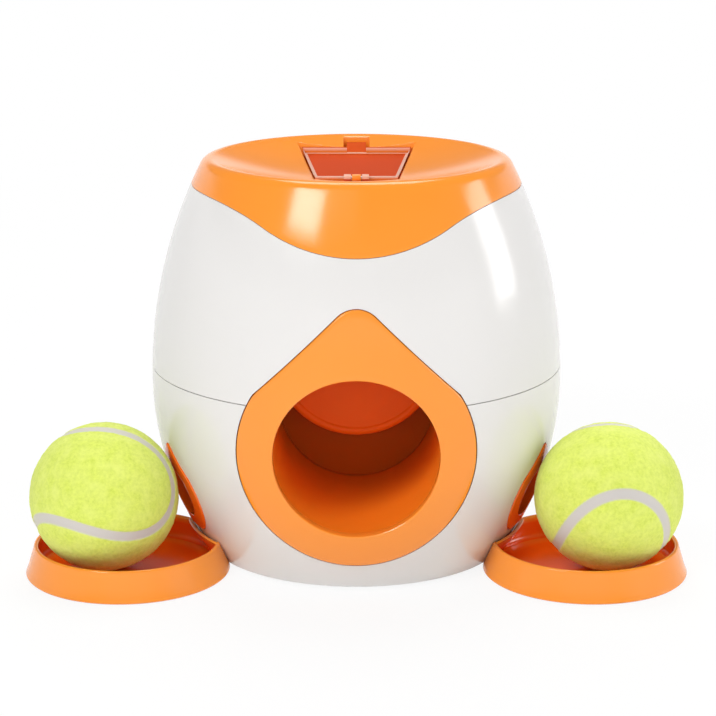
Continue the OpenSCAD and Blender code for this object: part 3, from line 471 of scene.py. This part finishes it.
def boxCorners(low, high):
    return [Vector((x, y, z)) for x in (low[0], high[0]) for y in (low[1], high[1]) for z in (low[2], high[2])]


def shaped(bm, steps):
    # joins and cuts in turn, then back to one bmesh
    body = meshObject(bm, "blank")
    tools = []
    for number, (operation, toolBm) in enumerate(steps):
        tools.append(meshObject(toolBm, "tool"))
        change = body.modifiers.new("step %d" % number, "BOOLEAN")
        change.operation = operation
        change.solver = "EXACT"
        change.object = tools[-1]
    done = bpy.data.meshes.new_from_object(body.evaluated_get(bpy.context.evaluated_depsgraph_get()))
    result = bmesh.new()
    result.from_mesh(done)
    for used in [body] + tools:
        mesh = used.data
        bpy.data.objects.remove(used)
        bpy.data.meshes.remove(mesh)
    bpy.data.meshes.remove(done)
    return result


def capBlank():
    bm = bmesh.new()
    first = math.atan2(rimZ - barrel["widest"], rimRadius - barrel["radius"] + barrel["upperCurve"])
    last = math.atan2(dishZ - rimZ, -rimRadius)
    topZ = rimZ + cap["rimRound"] * math.sin(first)

    def profile(inset):
        turn = [first + (last - first) * k / cap["rimRows"] for k in range(cap["rimRows"] + 1)]
        ball = cap["rimRound"] - inset
        spots = []
        for k in range(cap["skirtRows"]):
            z = cap["skirt"] + (topZ - cap["skirt"]) * k / cap["skirtRows"]
            spots.append((barrelRadius(z, inset), z))
        spots += [(rimRadius + ball * math.cos(a), rimZ + ball * math.sin(a)) for a in turn]
        edge = spots[-1][0]
        for k in range(1, cap["dishRows"] + 1):
            r = edge * (1 - k / cap["dishRows"])
            spots.append((r, dishAt(r, inset)))
        return spots

    outline = profile(0) + profile(cap["wall"])[::-1]
    chain = [bm.verts.new((r, 0, z)) for r, z in outline]
    half = len(chain) // 2
    edges = [bm.edges.new(pair) for pair in zip(chain[:half], chain[1:half])]
    edges += [bm.edges.new(pair) for pair in zip(chain[half:], chain[half + 1:])]
    edges.append(bm.edges.new((chain[0], chain[-1])))
    bmesh.ops.spin(bm, geom=chain + edges, cent=(0, 0, 0), axis=(0, 0, 1), angle=2 * math.pi, steps=cap["steps"],
                   use_merge=True, use_duplicate=False)
    outward(bm)    # before the hem is rounded
    for v in bm.verts:    # draw the skirt down to its wavy edge
        reach = math.hypot(v.co.x, v.co.y)
        if v.co.z < topZ - hair and reach > rimRadius + 1:
            inset = 0.0 if reach > barrelRadius(v.co.z) - cap["wall"] / 2 else cap["wall"]
            turn = math.atan2(v.co.x, -v.co.y)
            low = skirtEdge(turn)
            z = low + (topZ - low) * (v.co.z - cap["skirt"]) / (topZ - cap["skirt"])
            r = barrelRadius(z, inset)
            v.co = Vector((r * math.sin(turn), -r * math.cos(turn), z))
    hem = [e for e in bm.edges if all(abs(v.co.z - skirtEdge(math.atan2(v.co.x, -v.co.y))) < 1e-3
                                      and v.co.xy.length > barrelRadius(v.co.z) - 0.1 for v in e.verts)]
    roundEdges(bm, hem, cap["edgeRound"])
    outward(bm)
    return bm


def dishBlock(grow, depth, endZ):
    # body between the dish, set down by a depth, and a level above or below it
    bm = bmesh.new()
    bmesh.ops.create_grid(bm, x_segments=cap["collarRows"], y_segments=cap["collarRows"], size=1)
    near, far = lid["front"] - grow, lid["front"] + lid["length"] + grow
    for v in bm.verts:
        y = near + (far - near) * (v.co.y + 1) / 2
        x = v.co.x * (lidHalf(y - lid["front"]) + grow)
        v.co = Vector((x, y, dishAt(math.hypot(x, y), depth)))
    for v in newVerts(bmesh.ops.extrude_face_region(bm, geom=bm.faces[:])):
        v.co.z = endZ
    outward(bm)
    return bm


def addKnuckle(bm, place, length):
    made = bmesh.ops.create_cone(bm, cap_ends=True, segments=lid["knuckleSteps"], radius1=lid["knuckle"],
                                 radius2=lid["knuckle"], depth=length,
                                 matrix=place @ Matrix.Rotation(math.pi / 2, 4, "Y"))["verts"]
    ends = [e for e in {e for v in made for e in v.link_edges} if abs(e.verts[0].co.x - e.verts[1].co.x) < hair]
    roundEdges(bm, ends, lid["edgeRound"], 2)


def capPiece():
    floor, deep = -lid["thick"] - cap["seatGap"], -lid["thick"] - lid["recessDepth"]
    gap, high, back = cap["lidGap"], cap["flareTop"], lid["length"] + lid["recess"]
    levels = ((floor, gap), (0, gap), (high, gap + high * flare))
    seat = [onLid @ Vector((x, v, w)) for w, grow in levels for x, v in lidPlan(grow)]
    opening = [Vector((x, lid["front"] + v, z)) for z in (cap["hopperTop"] - cap["cutLap"], cap["rim"])
               for x, v in lidPlan(-cap["ledge"])]
    recess = [onLid @ c for c in boxCorners((-lid["recessHalf"], lid["length"], deep),
                                            (lid["recessHalf"], back, cap["rim"] - cap["hopperTop"]))]
    side = lid["recessHalf"] + cap["pocketWall"]
    ends = zip((lid["length"] - cap["pocketLap"], back + cap["pocketWall"]), cap["pocketHigh"])
    under = deep - cap["pocketWall"]
    pocket = [onLid @ Vector((x, v, w)) for v, top in ends for x in (-side, side) for w in (under, top)]
    collar = dishBlock(cap["collar"], cap["wall"] / 2, cap["hopperTop"])
    bm = shaped(capBlank(), [("UNION", collar), ("UNION", hullPiece(pocket)), ("DIFFERENCE", hullPiece(seat)),
                             ("DIFFERENCE", hullPiece(opening)), ("DIFFERENCE", hullPiece(recess))])
    bmesh.ops.remove_doubles(bm, verts=bm.verts, dist=0.01)
    # soften the edges of the seat and of the finger recess where they meet the dish
    crease = [e for e in bm.edges if len(e.link_faces) == 2 and e.calc_face_angle() > sharpTurn and all(
        abs(v.co.z - dishAt(v.co.xy.length)) < 0.02 and v.co.xy.length < rimRadius - 2 for v in e.verts)]
    roundEdges(bm, crease, cap["seatRound"], 2)
    # the knuckle between the lid's two and the lug that carries it
    addKnuckle(bm, onLid @ Matrix.Translation(hinge), 2 * lid["knuckleHalf"])
    height = hinge.z - floor + cap["lugFoot"]
    lug = Matrix.Diagonal((2 * lid["knuckleHalf"] - cap["lugGap"], lid["knuckle"], height, 1))
    bmesh.ops.create_cube(bm, size=1, matrix=onLid @ Matrix.Translation((0, hinge.y, hinge.z - height / 2)) @ lug)
    outward(bm)
    finishPiece("top_cap_moulded", bm, "housing", orangeAbs, ["top_cap"], 28)


capPiece()
print("cap ready")


# Clear lid: window, border, flange just above the dish, two knuckles and thumb tab

def lidFlange():
    base, far, deep = -lid["thick"] / 2, lid["toolReach"], -lid["toolDepth"]

    def cone(inset, low, high):
        levels = ((low, -inset), (0, -inset), (high, flare * high - inset))
        return hullPiece([onLid @ Vector((x, v, w)) for w, grow in levels for x, v in lidPlan(grow)])

    def block(half, near, end):
        return hullPiece([onLid @ c for c in boxCorners((-half, near, deep), (half, end, far))])

    tabGap = block(lid["tabHalf"], lid["length"] / 2, lid["length"] + far)
    front = block(lid["toolHalf"], -far, hinge.y + lid["knuckle"] + lid["flangeFront"])
    bm = shaped(cone(lid["flangeGap"], base, lid["flange"]), [
        ("DIFFERENCE", cone(lid["flangeWall"], base - 1, cap["flareTop"] + 1)), ("DIFFERENCE", tabGap),
        ("DIFFERENCE", front), ("DIFFERENCE", dishBlock(far, lid["flangeDrop"], cap["rim"] + far))])
    bmesh.ops.remove_doubles(bm, verts=bm.verts, dist=0.01)
    bmesh.ops.dissolve_limit(bm, angle_limit=0.02, verts=bm.verts, edges=bm.edges)
    rim = onLid @ Vector((0, 0, lid["flange"] - lid["flangeRim"]))
    cutGrid(bm, bm.faces[:], [(rim, onLid.to_3x3() @ Vector((0, 0, 1)))])    # where its pale rim, a painted highlight, begins
    return bm


def joinTo(bm, extra):
    mesh = bpy.data.meshes.new("joined")
    extra.to_mesh(mesh)
    extra.free()
    bm.from_mesh(mesh)
    bpy.data.meshes.remove(mesh)


def lidPiece():
    bm = bmesh.new()
    back, plate = lid["length"], hinge.y + lid["knuckle"] / 3
    notch = lid["knuckleHalf"] + cap["lidGap"]
    notchEnd = hinge.y + lid["knuckle"] + cap["lidGap"]
    across, along = Vector((1, 0, 0)), Vector((0, 1, 0))
    for v in bmesh.ops.create_grid(bm, x_segments=1, y_segments=1, size=1)["verts"]:
        y = back if v.co.y > 0 else plate
        v.co = Vector((math.copysign(lidHalf(y), v.co.x), y, 0))
    window = lidPlan(-lid["border"], notchEnd + lid["frontBorder"] - lid["border"])
    lines = [(along * y, along) for y in (notchEnd, window[0][1], window[2][1])]
    lines += [(across * x, across) for x in (-lid["tabHalf"], -notch, notch, lid["tabHalf"])]
    for one, two in ((window[0], window[2]), (window[1], window[3])):
        lines.append((Vector((*one, 0)), Vector((two[1] - one[1], one[0] - two[0], 0)).normalized()))
    cutGrid(bm, bm.faces[:], lines)
    middles = {f: f.calc_center_median() for f in bm.faces}
    bmesh.ops.delete(bm, geom=[f for f, m in middles.items() if m.y < notchEnd and abs(m.x) < notch], context="FACES")
    lip = [e for e in bm.edges if all(v.co.y > back - 0.01 and abs(v.co.x) < lid["tabHalf"] + 0.01 for v in e.verts)]
    for v in newVerts(bmesh.ops.extrude_edge_only(bm, edges=lip)):
        v.co += Vector((0, lid["tab"], lid["tabRise"]))
    bmesh.ops.recalc_face_normals(bm, faces=bm.faces)
    slope = (window[3][0] - window[1][0]) / (window[3][1] - window[1][1])
    middles = {f: f.calc_center_median() for f in bm.faces}
    pane = [f for f, m in middles.items() if window[0][1] < m.y < window[2][1]
            and abs(m.x) < window[1][0] + slope * (m.y - window[1][1])]
    for v in newVerts(bmesh.ops.extrude_face_region(bm, geom=pane)):
        v.co.z = -lid["step"]
    bmesh.ops.delete(bm, geom=[f for f in pane if f.is_valid], context="FACES_ONLY")
    for v in newVerts(bmesh.ops.extrude_edge_only(bm, edges=[e for e in bm.edges if e.is_boundary])):
        v.co.z -= lid["thick"]
    bmesh.ops.holes_fill(bm, edges=[e for e in bm.edges if e.is_boundary], sides=0)
    outward(bm)
    bmesh.ops.dissolve_limit(bm, angle_limit=0.01, verts=bm.verts, edges=bm.edges)
    sharp = [e for e in bm.edges if len(e.link_faces) == 2 and e.calc_face_angle() > sharpTurn]
    roundEdges(bm, sharp, lid["edgeRound"], 2)
    length = lid["hingeHalf"] - notch
    for s in (-1, 1):
        addKnuckle(bm, Matrix.Translation(hinge + across * s * (notch + length / 2)), length)
    cutGrid(bm, bm.faces[:], [(along * (back + lid["tabShadeFrom"]), along)])    # where the tab's own shade begins
    plain = len(bm.verts)
    bmesh.ops.transform(bm, matrix=onLid, verts=bm.verts)
    joinTo(bm, lidFlange())
    outward(bm)
    border = bm.verts.layers.float.new("border")
    toLid = onLid.inverted()
    for index, v in enumerate(bm.verts):    # 0 in the window, 0.5 on the flange, 1 on the border and the rim, which take the pale painted highlight
        spot = toLid @ v.co
        if index >= plain:
            top = dishAt(v.co.xy.length, lid["flangeDrop"])
            v[border] = 1.0 if spot.z > lid["flange"] - 0.2 or v.co.z > top - 0.2 else 0.5
        elif spot.z < -lid["step"] / 2:
            v[border] = 0.0
        else:
            v[border] = 0.08 if spot.y > back + lid["tabShadeFrom"] - 0.2 else 1.0
    finishPiece("treat_lid_clear", bm, "lid", clearPc, ["treat_lid"], 30)


lidPiece()
print("lid ready")


# Trays: turned about their own centre, trimmed to the barrel and closed against it

tray = {"away": 108.99, "foot": 44.8, "rim": 41.0, "height": 13.5, "wall": 2.0, "footWall": 3.0, "floor": 2.2,
        "gap": 0.4, "steps": 160, "turned": 0.999, "rings": (15, 26, 32), "levels": (3, 6, 9), "footRound": 0.9,
        "footTurns": (0.0, 0.5, 1.0, 1.45), "crownSteps": 8, "innerLevels": (10, 7.5, 5.5), "fillet": 2.4,
        "filletSteps": 6, "apronFoot": 0.3, "apronTurn": 40, "apronSteps": 40, "apronCrown": 6, "tongueHalf": 10.0,
        "tongue": 4.0, "tongueZ": 4.2, "tongueReach": 7.0, "tongueAt": 3.4, "edgeRound": 0.6, "skin": 0.2}
trayTop = tray["height"] - tray["wall"] / 2    # centre of the rounded rim


def trayOuter(z):
    return tray["foot"] + (tray["rim"] - tray["foot"]) * z / trayTop


def trayInner(z):
    low, high = tray["foot"] - tray["footWall"], tray["rim"] - tray["wall"]
    return low + (high - low) * (z - tray["floor"]) / (trayTop - tray["floor"])


def besideBarrel(z):
    return barrelRadius(z) + tray["gap"]


def bowlOutline():
    # from the middle of the underside out, over the rim and back to the middle of the floor
    half, foot, fillet = tray["wall"] / 2, tray["footRound"], tray["fillet"]
    nearest = tray["away"] - besideBarrel(0)
    spots = [(r, 0) for r in (0, *tray["rings"], nearest, tray["foot"] - tray["footWall"])]
    spots += [(trayOuter(0) - foot + foot * math.sin(a), foot - foot * math.cos(a)) for a in tray["footTurns"]]
    spots += [(trayOuter(z), z) for z in (*tray["levels"], trayTop)]
    spots += [(tray["rim"] - half + half * math.cos(a), trayTop + half * math.sin(a))
              for a in [math.pi * k / tray["crownSteps"] for k in range(1, tray["crownSteps"])]]
    spots += [(trayInner(z), z) for z in (trayTop, *tray["innerLevels"])]
    low = tray["floor"] + fillet
    spots += [(trayInner(low) - fillet + fillet * math.cos(a), low - fillet * math.sin(a))
              for a in [math.pi / 2 * k / tray["filletSteps"] for k in range(1, tray["filletSteps"] + 1)]]
    return spots + [(r, tray["floor"]) for r in (nearest + 1, *tray["rings"][::-1], 0)]


def addBowl(bm):
    chain = [bm.verts.new((tray["away"] + r, 0, z)) for r, z in bowlOutline()]
    edges = [bm.edges.new(pair) for pair in zip(chain, chain[1:])]
    middle, whole = (tray["away"], 0, 0), 2 * math.pi * tray["turned"]
    bmesh.ops.rotate(bm, cent=middle, matrix=Matrix.Rotation(-whole / 2, 3, "Z"), verts=chain)
    bmesh.ops.spin(bm, geom=chain + edges, cent=middle, axis=(0, 0, 1), angle=whole, steps=tray["steps"],
                   use_merge=False, use_duplicate=False)
    for v in bm.verts:    # stop each ring where it meets the barrel
        dx, dy = v.co.x - tray["away"], v.co.y
        r = math.hypot(dx, dy)
        if r < hair:
            continue
        t = math.atan2(dy, dx) / (whole / 2)
        near = (tray["away"] ** 2 + r * r - besideBarrel(v.co.z) ** 2) / (2 * tray["away"] * r)
        stop = math.pi - (math.acos(near) if near < 1 else 0.0)
        v.co.x = tray["away"] + r * math.cos(stop * t)
        v.co.y = r * math.sin(stop * t)
    bmesh.ops.remove_doubles(bm, verts=bm.verts, dist=0.02)
    bmesh.ops.holes_fill(bm, edges=[e for e in bm.edges if e.is_boundary], sides=0)
    bmesh.ops.recalc_face_normals(bm, faces=bm.faces)


def addApron(bm):
    # wall up the barrel's side, its ends buried in the bowl's wall
    half, reach = tray["wall"] / 2, math.radians(tray["apronTurn"])
    levels = (tray["apronFoot"], *tray["levels"], trayTop)
    spots = [(besideBarrel(z), z) for z in levels]
    spots += [(besideBarrel(tray["height"]) + half - half * math.cos(a), trayTop + half * math.sin(a))
              for a in [math.pi * k / tray["apronCrown"] for k in range(1, tray["apronCrown"])]]
    spots += [(besideBarrel(z) + tray["wall"], z) for z in levels[::-1]]
    before = set(bm.verts)
    strip = [bm.verts.new((r, 0, z)) for r, z in spots]
    edges = [bm.edges.new(pair) for pair in zip(strip, strip[1:] + strip[:1])]
    bmesh.ops.rotate(bm, cent=(0, 0, 0), matrix=Matrix.Rotation(-reach, 3, "Z"), verts=strip)
    bmesh.ops.spin(bm, geom=strip + edges, cent=(0, 0, 0), axis=(0, 0, 1), angle=2 * reach, steps=tray["apronSteps"],
                   use_merge=False, use_duplicate=False)
    for v in [v for v in bm.verts if v not in before]:
        r, t = math.hypot(v.co.x, v.co.y), math.atan2(v.co.y, v.co.x) / reach
        middle = trayOuter(min(v.co.z, trayTop)) - half
        end = math.acos((r * r + tray["away"] ** 2 - middle ** 2) / (2 * r * tray["away"]))
        v.co.x, v.co.y = r * math.cos(end * t), r * math.sin(end * t)
    bmesh.ops.holes_fill(bm, edges=[e for e in bm.edges if e.is_boundary], sides=0)
    bmesh.ops.recalc_face_normals(bm, faces=[f for f in bm.faces if all(v not in before for v in f.verts)])


def trayPiece(side, name, body, replaced):
    bm = bmesh.new()
    addBowl(bm)
    addApron(bm)
    # mask of the hollow that takes the painted shade
    paintedHollowShade, skin = bm.verts.layers.float.new("paintedHollowShade"), tray["skin"]
    for v in bm.verts:    # below the rim, within the wall and off the barrel's side
        depth = math.hypot(v.co.x - tray["away"], v.co.y)
        hollow = tray["floor"] - skin / 2 < v.co.z < trayTop and depth < trayInner(v.co.z) + skin
        v[paintedHollowShade] = float(hollow and v.co.xy.length > besideBarrel(v.co.z) + skin)
    # tongue that clips under the barrel's wall
    tip = barrelRadius(tray["tongueAt"]) - tray["tongueReach"]
    root = besideBarrel(tray["tongueAt"]) + tray["wall"]
    tongue = bmesh.ops.create_cube(bm, size=1, matrix=Matrix.Translation(
        ((tip + root) / 2, 0, tray["tongueZ"] + tray["tongue"] / 2)) @ Matrix.Diagonal(
        (root - tip, 2 * tray["tongueHalf"], tray["tongue"], 1)))["verts"]
    roundEdges(bm, list({e for v in tongue for e in v.link_edges}), tray["edgeRound"])
    turn = math.radians(-90 + side * portTurn)
    bmesh.ops.rotate(bm, cent=(0, 0, 0), matrix=Matrix.Rotation(turn, 3, "Z"), verts=bm.verts)
    finishPiece(name, bm, body, trayAbs, replaced, 30)


trayPiece(-1, "left_tray_moulded", "left_tray", ["left_tray"])
trayPiece(1, "right_tray_moulded", "right_tray", ["right_tray"])
print("trays ready")


# Tennis balls: felt with a sunk rubber seam

ball = {"r": 32.5, "away": 119.09, "z": 35.0, "seamHalf": 2.1, "seamEdge": 0.5, "seamDepth": 0.45, "seamShare": 0.8,
        "seamPoints": 900, "nap": 0.16, "napMm": 1.1, "detail": 7}


def ballPiece(side, turn, name, body, replaced):
    bm = bmesh.new()
    bmesh.ops.create_icosphere(bm, subdivisions=ball["detail"], radius=ball["r"])
    a, b = ball["seamShare"], 1 - ball["seamShare"]
    tree = KDTree(ball["seamPoints"])
    for k in range(ball["seamPoints"]):
        t = 2 * math.pi * k / ball["seamPoints"]
        spot = Vector((a * math.cos(t) + b * math.cos(3 * t), a * math.sin(t) - b * math.sin(3 * t),
                       2 * math.sqrt(a * b) * math.sin(2 * t)))
        tree.insert(turn @ spot * ball["r"], k)
    tree.balance()
    seam = bm.verts.layers.float.new("seam")
    for v in bm.verts:
        gap = tree.find(v.co)[2]
        share = min(max((ball["seamHalf"] + ball["seamEdge"] - gap) / ball["seamEdge"], 0), 1)
        v[seam] = share
        fuzz = ball["nap"] * (noise.noise(v.co / ball["napMm"]) + noise.noise(v.co / (3 * ball["napMm"])))
        lift = (1 - share) * (fuzz - ball["nap"]) - share * ball["seamDepth"]
        v.co += v.co.normalized() * lift
    around = math.radians(portTurn)
    place = Vector((side * ball["away"] * math.sin(around), -ball["away"] * math.cos(around), ball["z"]))
    bmesh.ops.translate(bm, verts=bm.verts, vec=place)
    finishPiece(name, bm, body, felt, replaced, 180)


# how each ball lies, so that its seam shows as in the photo
leftTurn = Quaternion((-0.5459, -0.0144, -0.8296, -0.1161)).normalized()
rightTurn = Quaternion((1, 0, 0), math.radians(-7)) @ Quaternion((-0.064, 0.3982, -0.8481, -0.3437)).normalized()
ballPiece(-1, leftTurn, "left_ball_felt_napped", "left_ball", ["left_ball_felt"])
ballPiece(1, rightTurn, "right_ball_felt_napped", "right_ball", ["right_ball_felt"])
print("balls ready")


# CAD pieces that keep their own shape

kept = {"lower_shell": whiteAbs, "upper_shell": whiteAbs, "ball_pocket": pocketAbs, "trigger_flap": paintedShadeFlapAbs,
        "hopper": paintedShadeInnerAbs, "treat_drum": paintedShadeInnerAbs, "treat_splitter": paintedShadeInnerAbs, "left_chute": paintedShadeInnerAbs,
        "right_chute": paintedShadeInnerAbs, "sector_gear": nylon, "drum_pinion": nylon, "lid_pin": steel, "flap_axle": steel,
        "drum_axle": steel, "base_screws": steel, "hopper_screws": steel, "left_ball_core": rubber,
        "right_ball_core": rubber, "rubber_feet": rubber}
for name, material in kept.items():
    nodes[name].data.materials.clear()
    nodes[name].data.materials.append(material)
print("CAD pieces dressed:", len(kept))


# Stage, light and camera

stageLook = {"size": 40.0, "drop": 0.3, "colour": "#ffffff", "paper": "#f7f7f7", "shadowShare": 0.12,
             "shadowReach": (0.3, 1.0), "worldLight": (0.5, 0.3), "worldFrom": (-0.2, 0.8), "frontTurn": 22,
             "ceiling": 0.3, "ceilingAt": 0.7, "horizon": (0.2, 0.3), "lampAway": 1.3, "lampAim": (0, 0, 0.12)}


def seenRays(tree):
    # 1 for what the camera sees, straight, through clear pieces or mirrored
    path = addNode(tree, "ShaderNodeLightPath").outputs
    seen = mathOf(tree, "MAXIMUM", path["Is Camera Ray"], path["Is Transmission Ray"])
    return mathOf(tree, "MAXIMUM", seen, path["Is Glossy Ray"])


def stageFloor():
    # pale sweep: mostly its own plain colour to the camera, with a share of true light near the part for its shadow
    bm = bmesh.new()
    bmesh.ops.create_grid(bm, x_segments=8, y_segments=8, size=stageLook["size"])
    bmesh.ops.translate(bm, verts=bm.verts, vec=(0, 0, -stageLook["drop"] * mm))
    floor = meshObject(bm, "studio_floor")
    material, tree = newMaterial("paper_sweep")
    light = addNode(tree, "ShaderNodeBsdfDiffuse", {"Color": linear(stageLook["paper"])})
    plain = addNode(tree, "ShaderNodeEmission", {"Color": linear(stageLook["colour"])})
    away = addNode(tree, "ShaderNodeVectorMath", {"operation": "LENGTH"}, {0: objectPlace(tree)}).outputs["Value"]
    share = spread(tree, away, (stageLook["shadowShare"], 0.0), stageLook["shadowReach"])
    shown = mixShader(tree, share, plain, light)
    surface(tree, mixShader(tree, seenRays(tree), light, shown))
    floor.data.materials.append(material)


def studioWorld():
    # white walls in front, a dimmer room behind and above
    world = bpy.data.worlds.new("studio")
    scene.world = world
    world.use_nodes = True
    tree = world.node_tree
    tree.nodes.clear()
    turned = addNode(tree, "ShaderNodeVectorRotate",
                     {"rotation_type": "Z_AXIS", "Angle": -math.radians(stageLook["frontTurn"])},
                     {"Vector": addNode(tree, "ShaderNodeTexCoord").outputs["Generated"]})
    way = addNode(tree, "ShaderNodeSeparateXYZ", None, {0: turned.outputs[0]}).outputs
    level = spread(tree, way["Y"], stageLook["worldLight"], stageLook["worldFrom"])
    fall = spread(tree, way["Z"], (1.0, stageLook["ceiling"]), (0.0, stageLook["ceilingAt"]))
    strength = mathOf(tree, "MULTIPLY", level, fall)
    # where the floor ends, the camera and clear or shiny surfaces see plain white up to just above the horizon
    under = spread(tree, way["Z"], (1.0, 0.0), stageLook["horizon"])
    white = mathOf(tree, "MULTIPLY", seenRays(tree), under)
    shown = addNode(tree, "ShaderNodeMix", {"data_type": "FLOAT", 3: 1.0}, {0: white, 2: strength})
    light = addNode(tree, "ShaderNodeBackground", {"Color": (1, 1, 1, 1)}, {"Strength": shown.outputs[0]})
    addNode(tree, "ShaderNodeOutputWorld", None, {"Surface": light.outputs[0]})


def softbox(name, turn, rise, width, height, radiance, mirrored):
    # turn from the front towards +X and rise above the floor, in degrees
    a, e = math.radians(turn), math.radians(rise)
    toLight = Vector((math.sin(a) * math.cos(e), -math.cos(a) * math.cos(e), math.sin(e)))
    data = bpy.data.lights.new(name, "AREA")
    data.shape = "RECTANGLE"
    data.size, data.size_y = width, height
    data.energy = radiance * math.pi * width * height
    lamp = bpy.data.objects.new(name, data)
    lamp.location = Vector(stageLook["lampAim"]) + toLight * stageLook["lampAway"]
    lamp.rotation_euler = toLight.to_track_quat("Z", "Y").to_euler()
    lamp.visible_glossy = mirrored    # a fill leaves no highlight
    scene.collection.objects.link(lamp)


# turn, rise, width, height, radiance, mirrored
lamps = {"left_softbox": (-37, 37, 0.42, 0.32, 12.0, True), "front_fill": (-14, 42, 0.5, 0.4, 5.8, False),
         "low_fill": (0, 12, 1.2, 0.3, 1.8, False), "right_fill": (62, 8, 0.6, 0.5, 1.8, False),
         "back_fill": (180, 28, 0.8, 0.5, 4.0, False), "right_softbox": (95, 16, 0.42, 0.56, 5.5, True),
         "top_softbox": (180, 70, 0.9, 0.6, 5.0, True)}
stageFloor()
studioWorld()
for name, settings in lamps.items():
    softbox(name, *settings)

view = {"lens": 111.62, "sensor": 36, "rise": 14.5, "away": 1.0, "lookAt": (0, 0, 0.0855), "shift": (0.0022, 0.0)}
cameraData = bpy.data.cameras.new("photo_camera")
cameraData.lens = view["lens"]
cameraData.sensor_width = view["sensor"]
cameraData.shift_x, cameraData.shift_y = view["shift"]
camera = bpy.data.objects.new("photo_camera", cameraData)
rise = math.radians(view["rise"])
camera.location = Vector(view["lookAt"]) + view["away"] * Vector((0, -math.cos(rise), math.sin(rise)))
camera.rotation_euler = (math.pi / 2 - rise, 0, 0)
scene.collection.objects.link(camera)
scene.camera = camera
scene.view_settings.view_transform = "Standard"
print("stage ready")
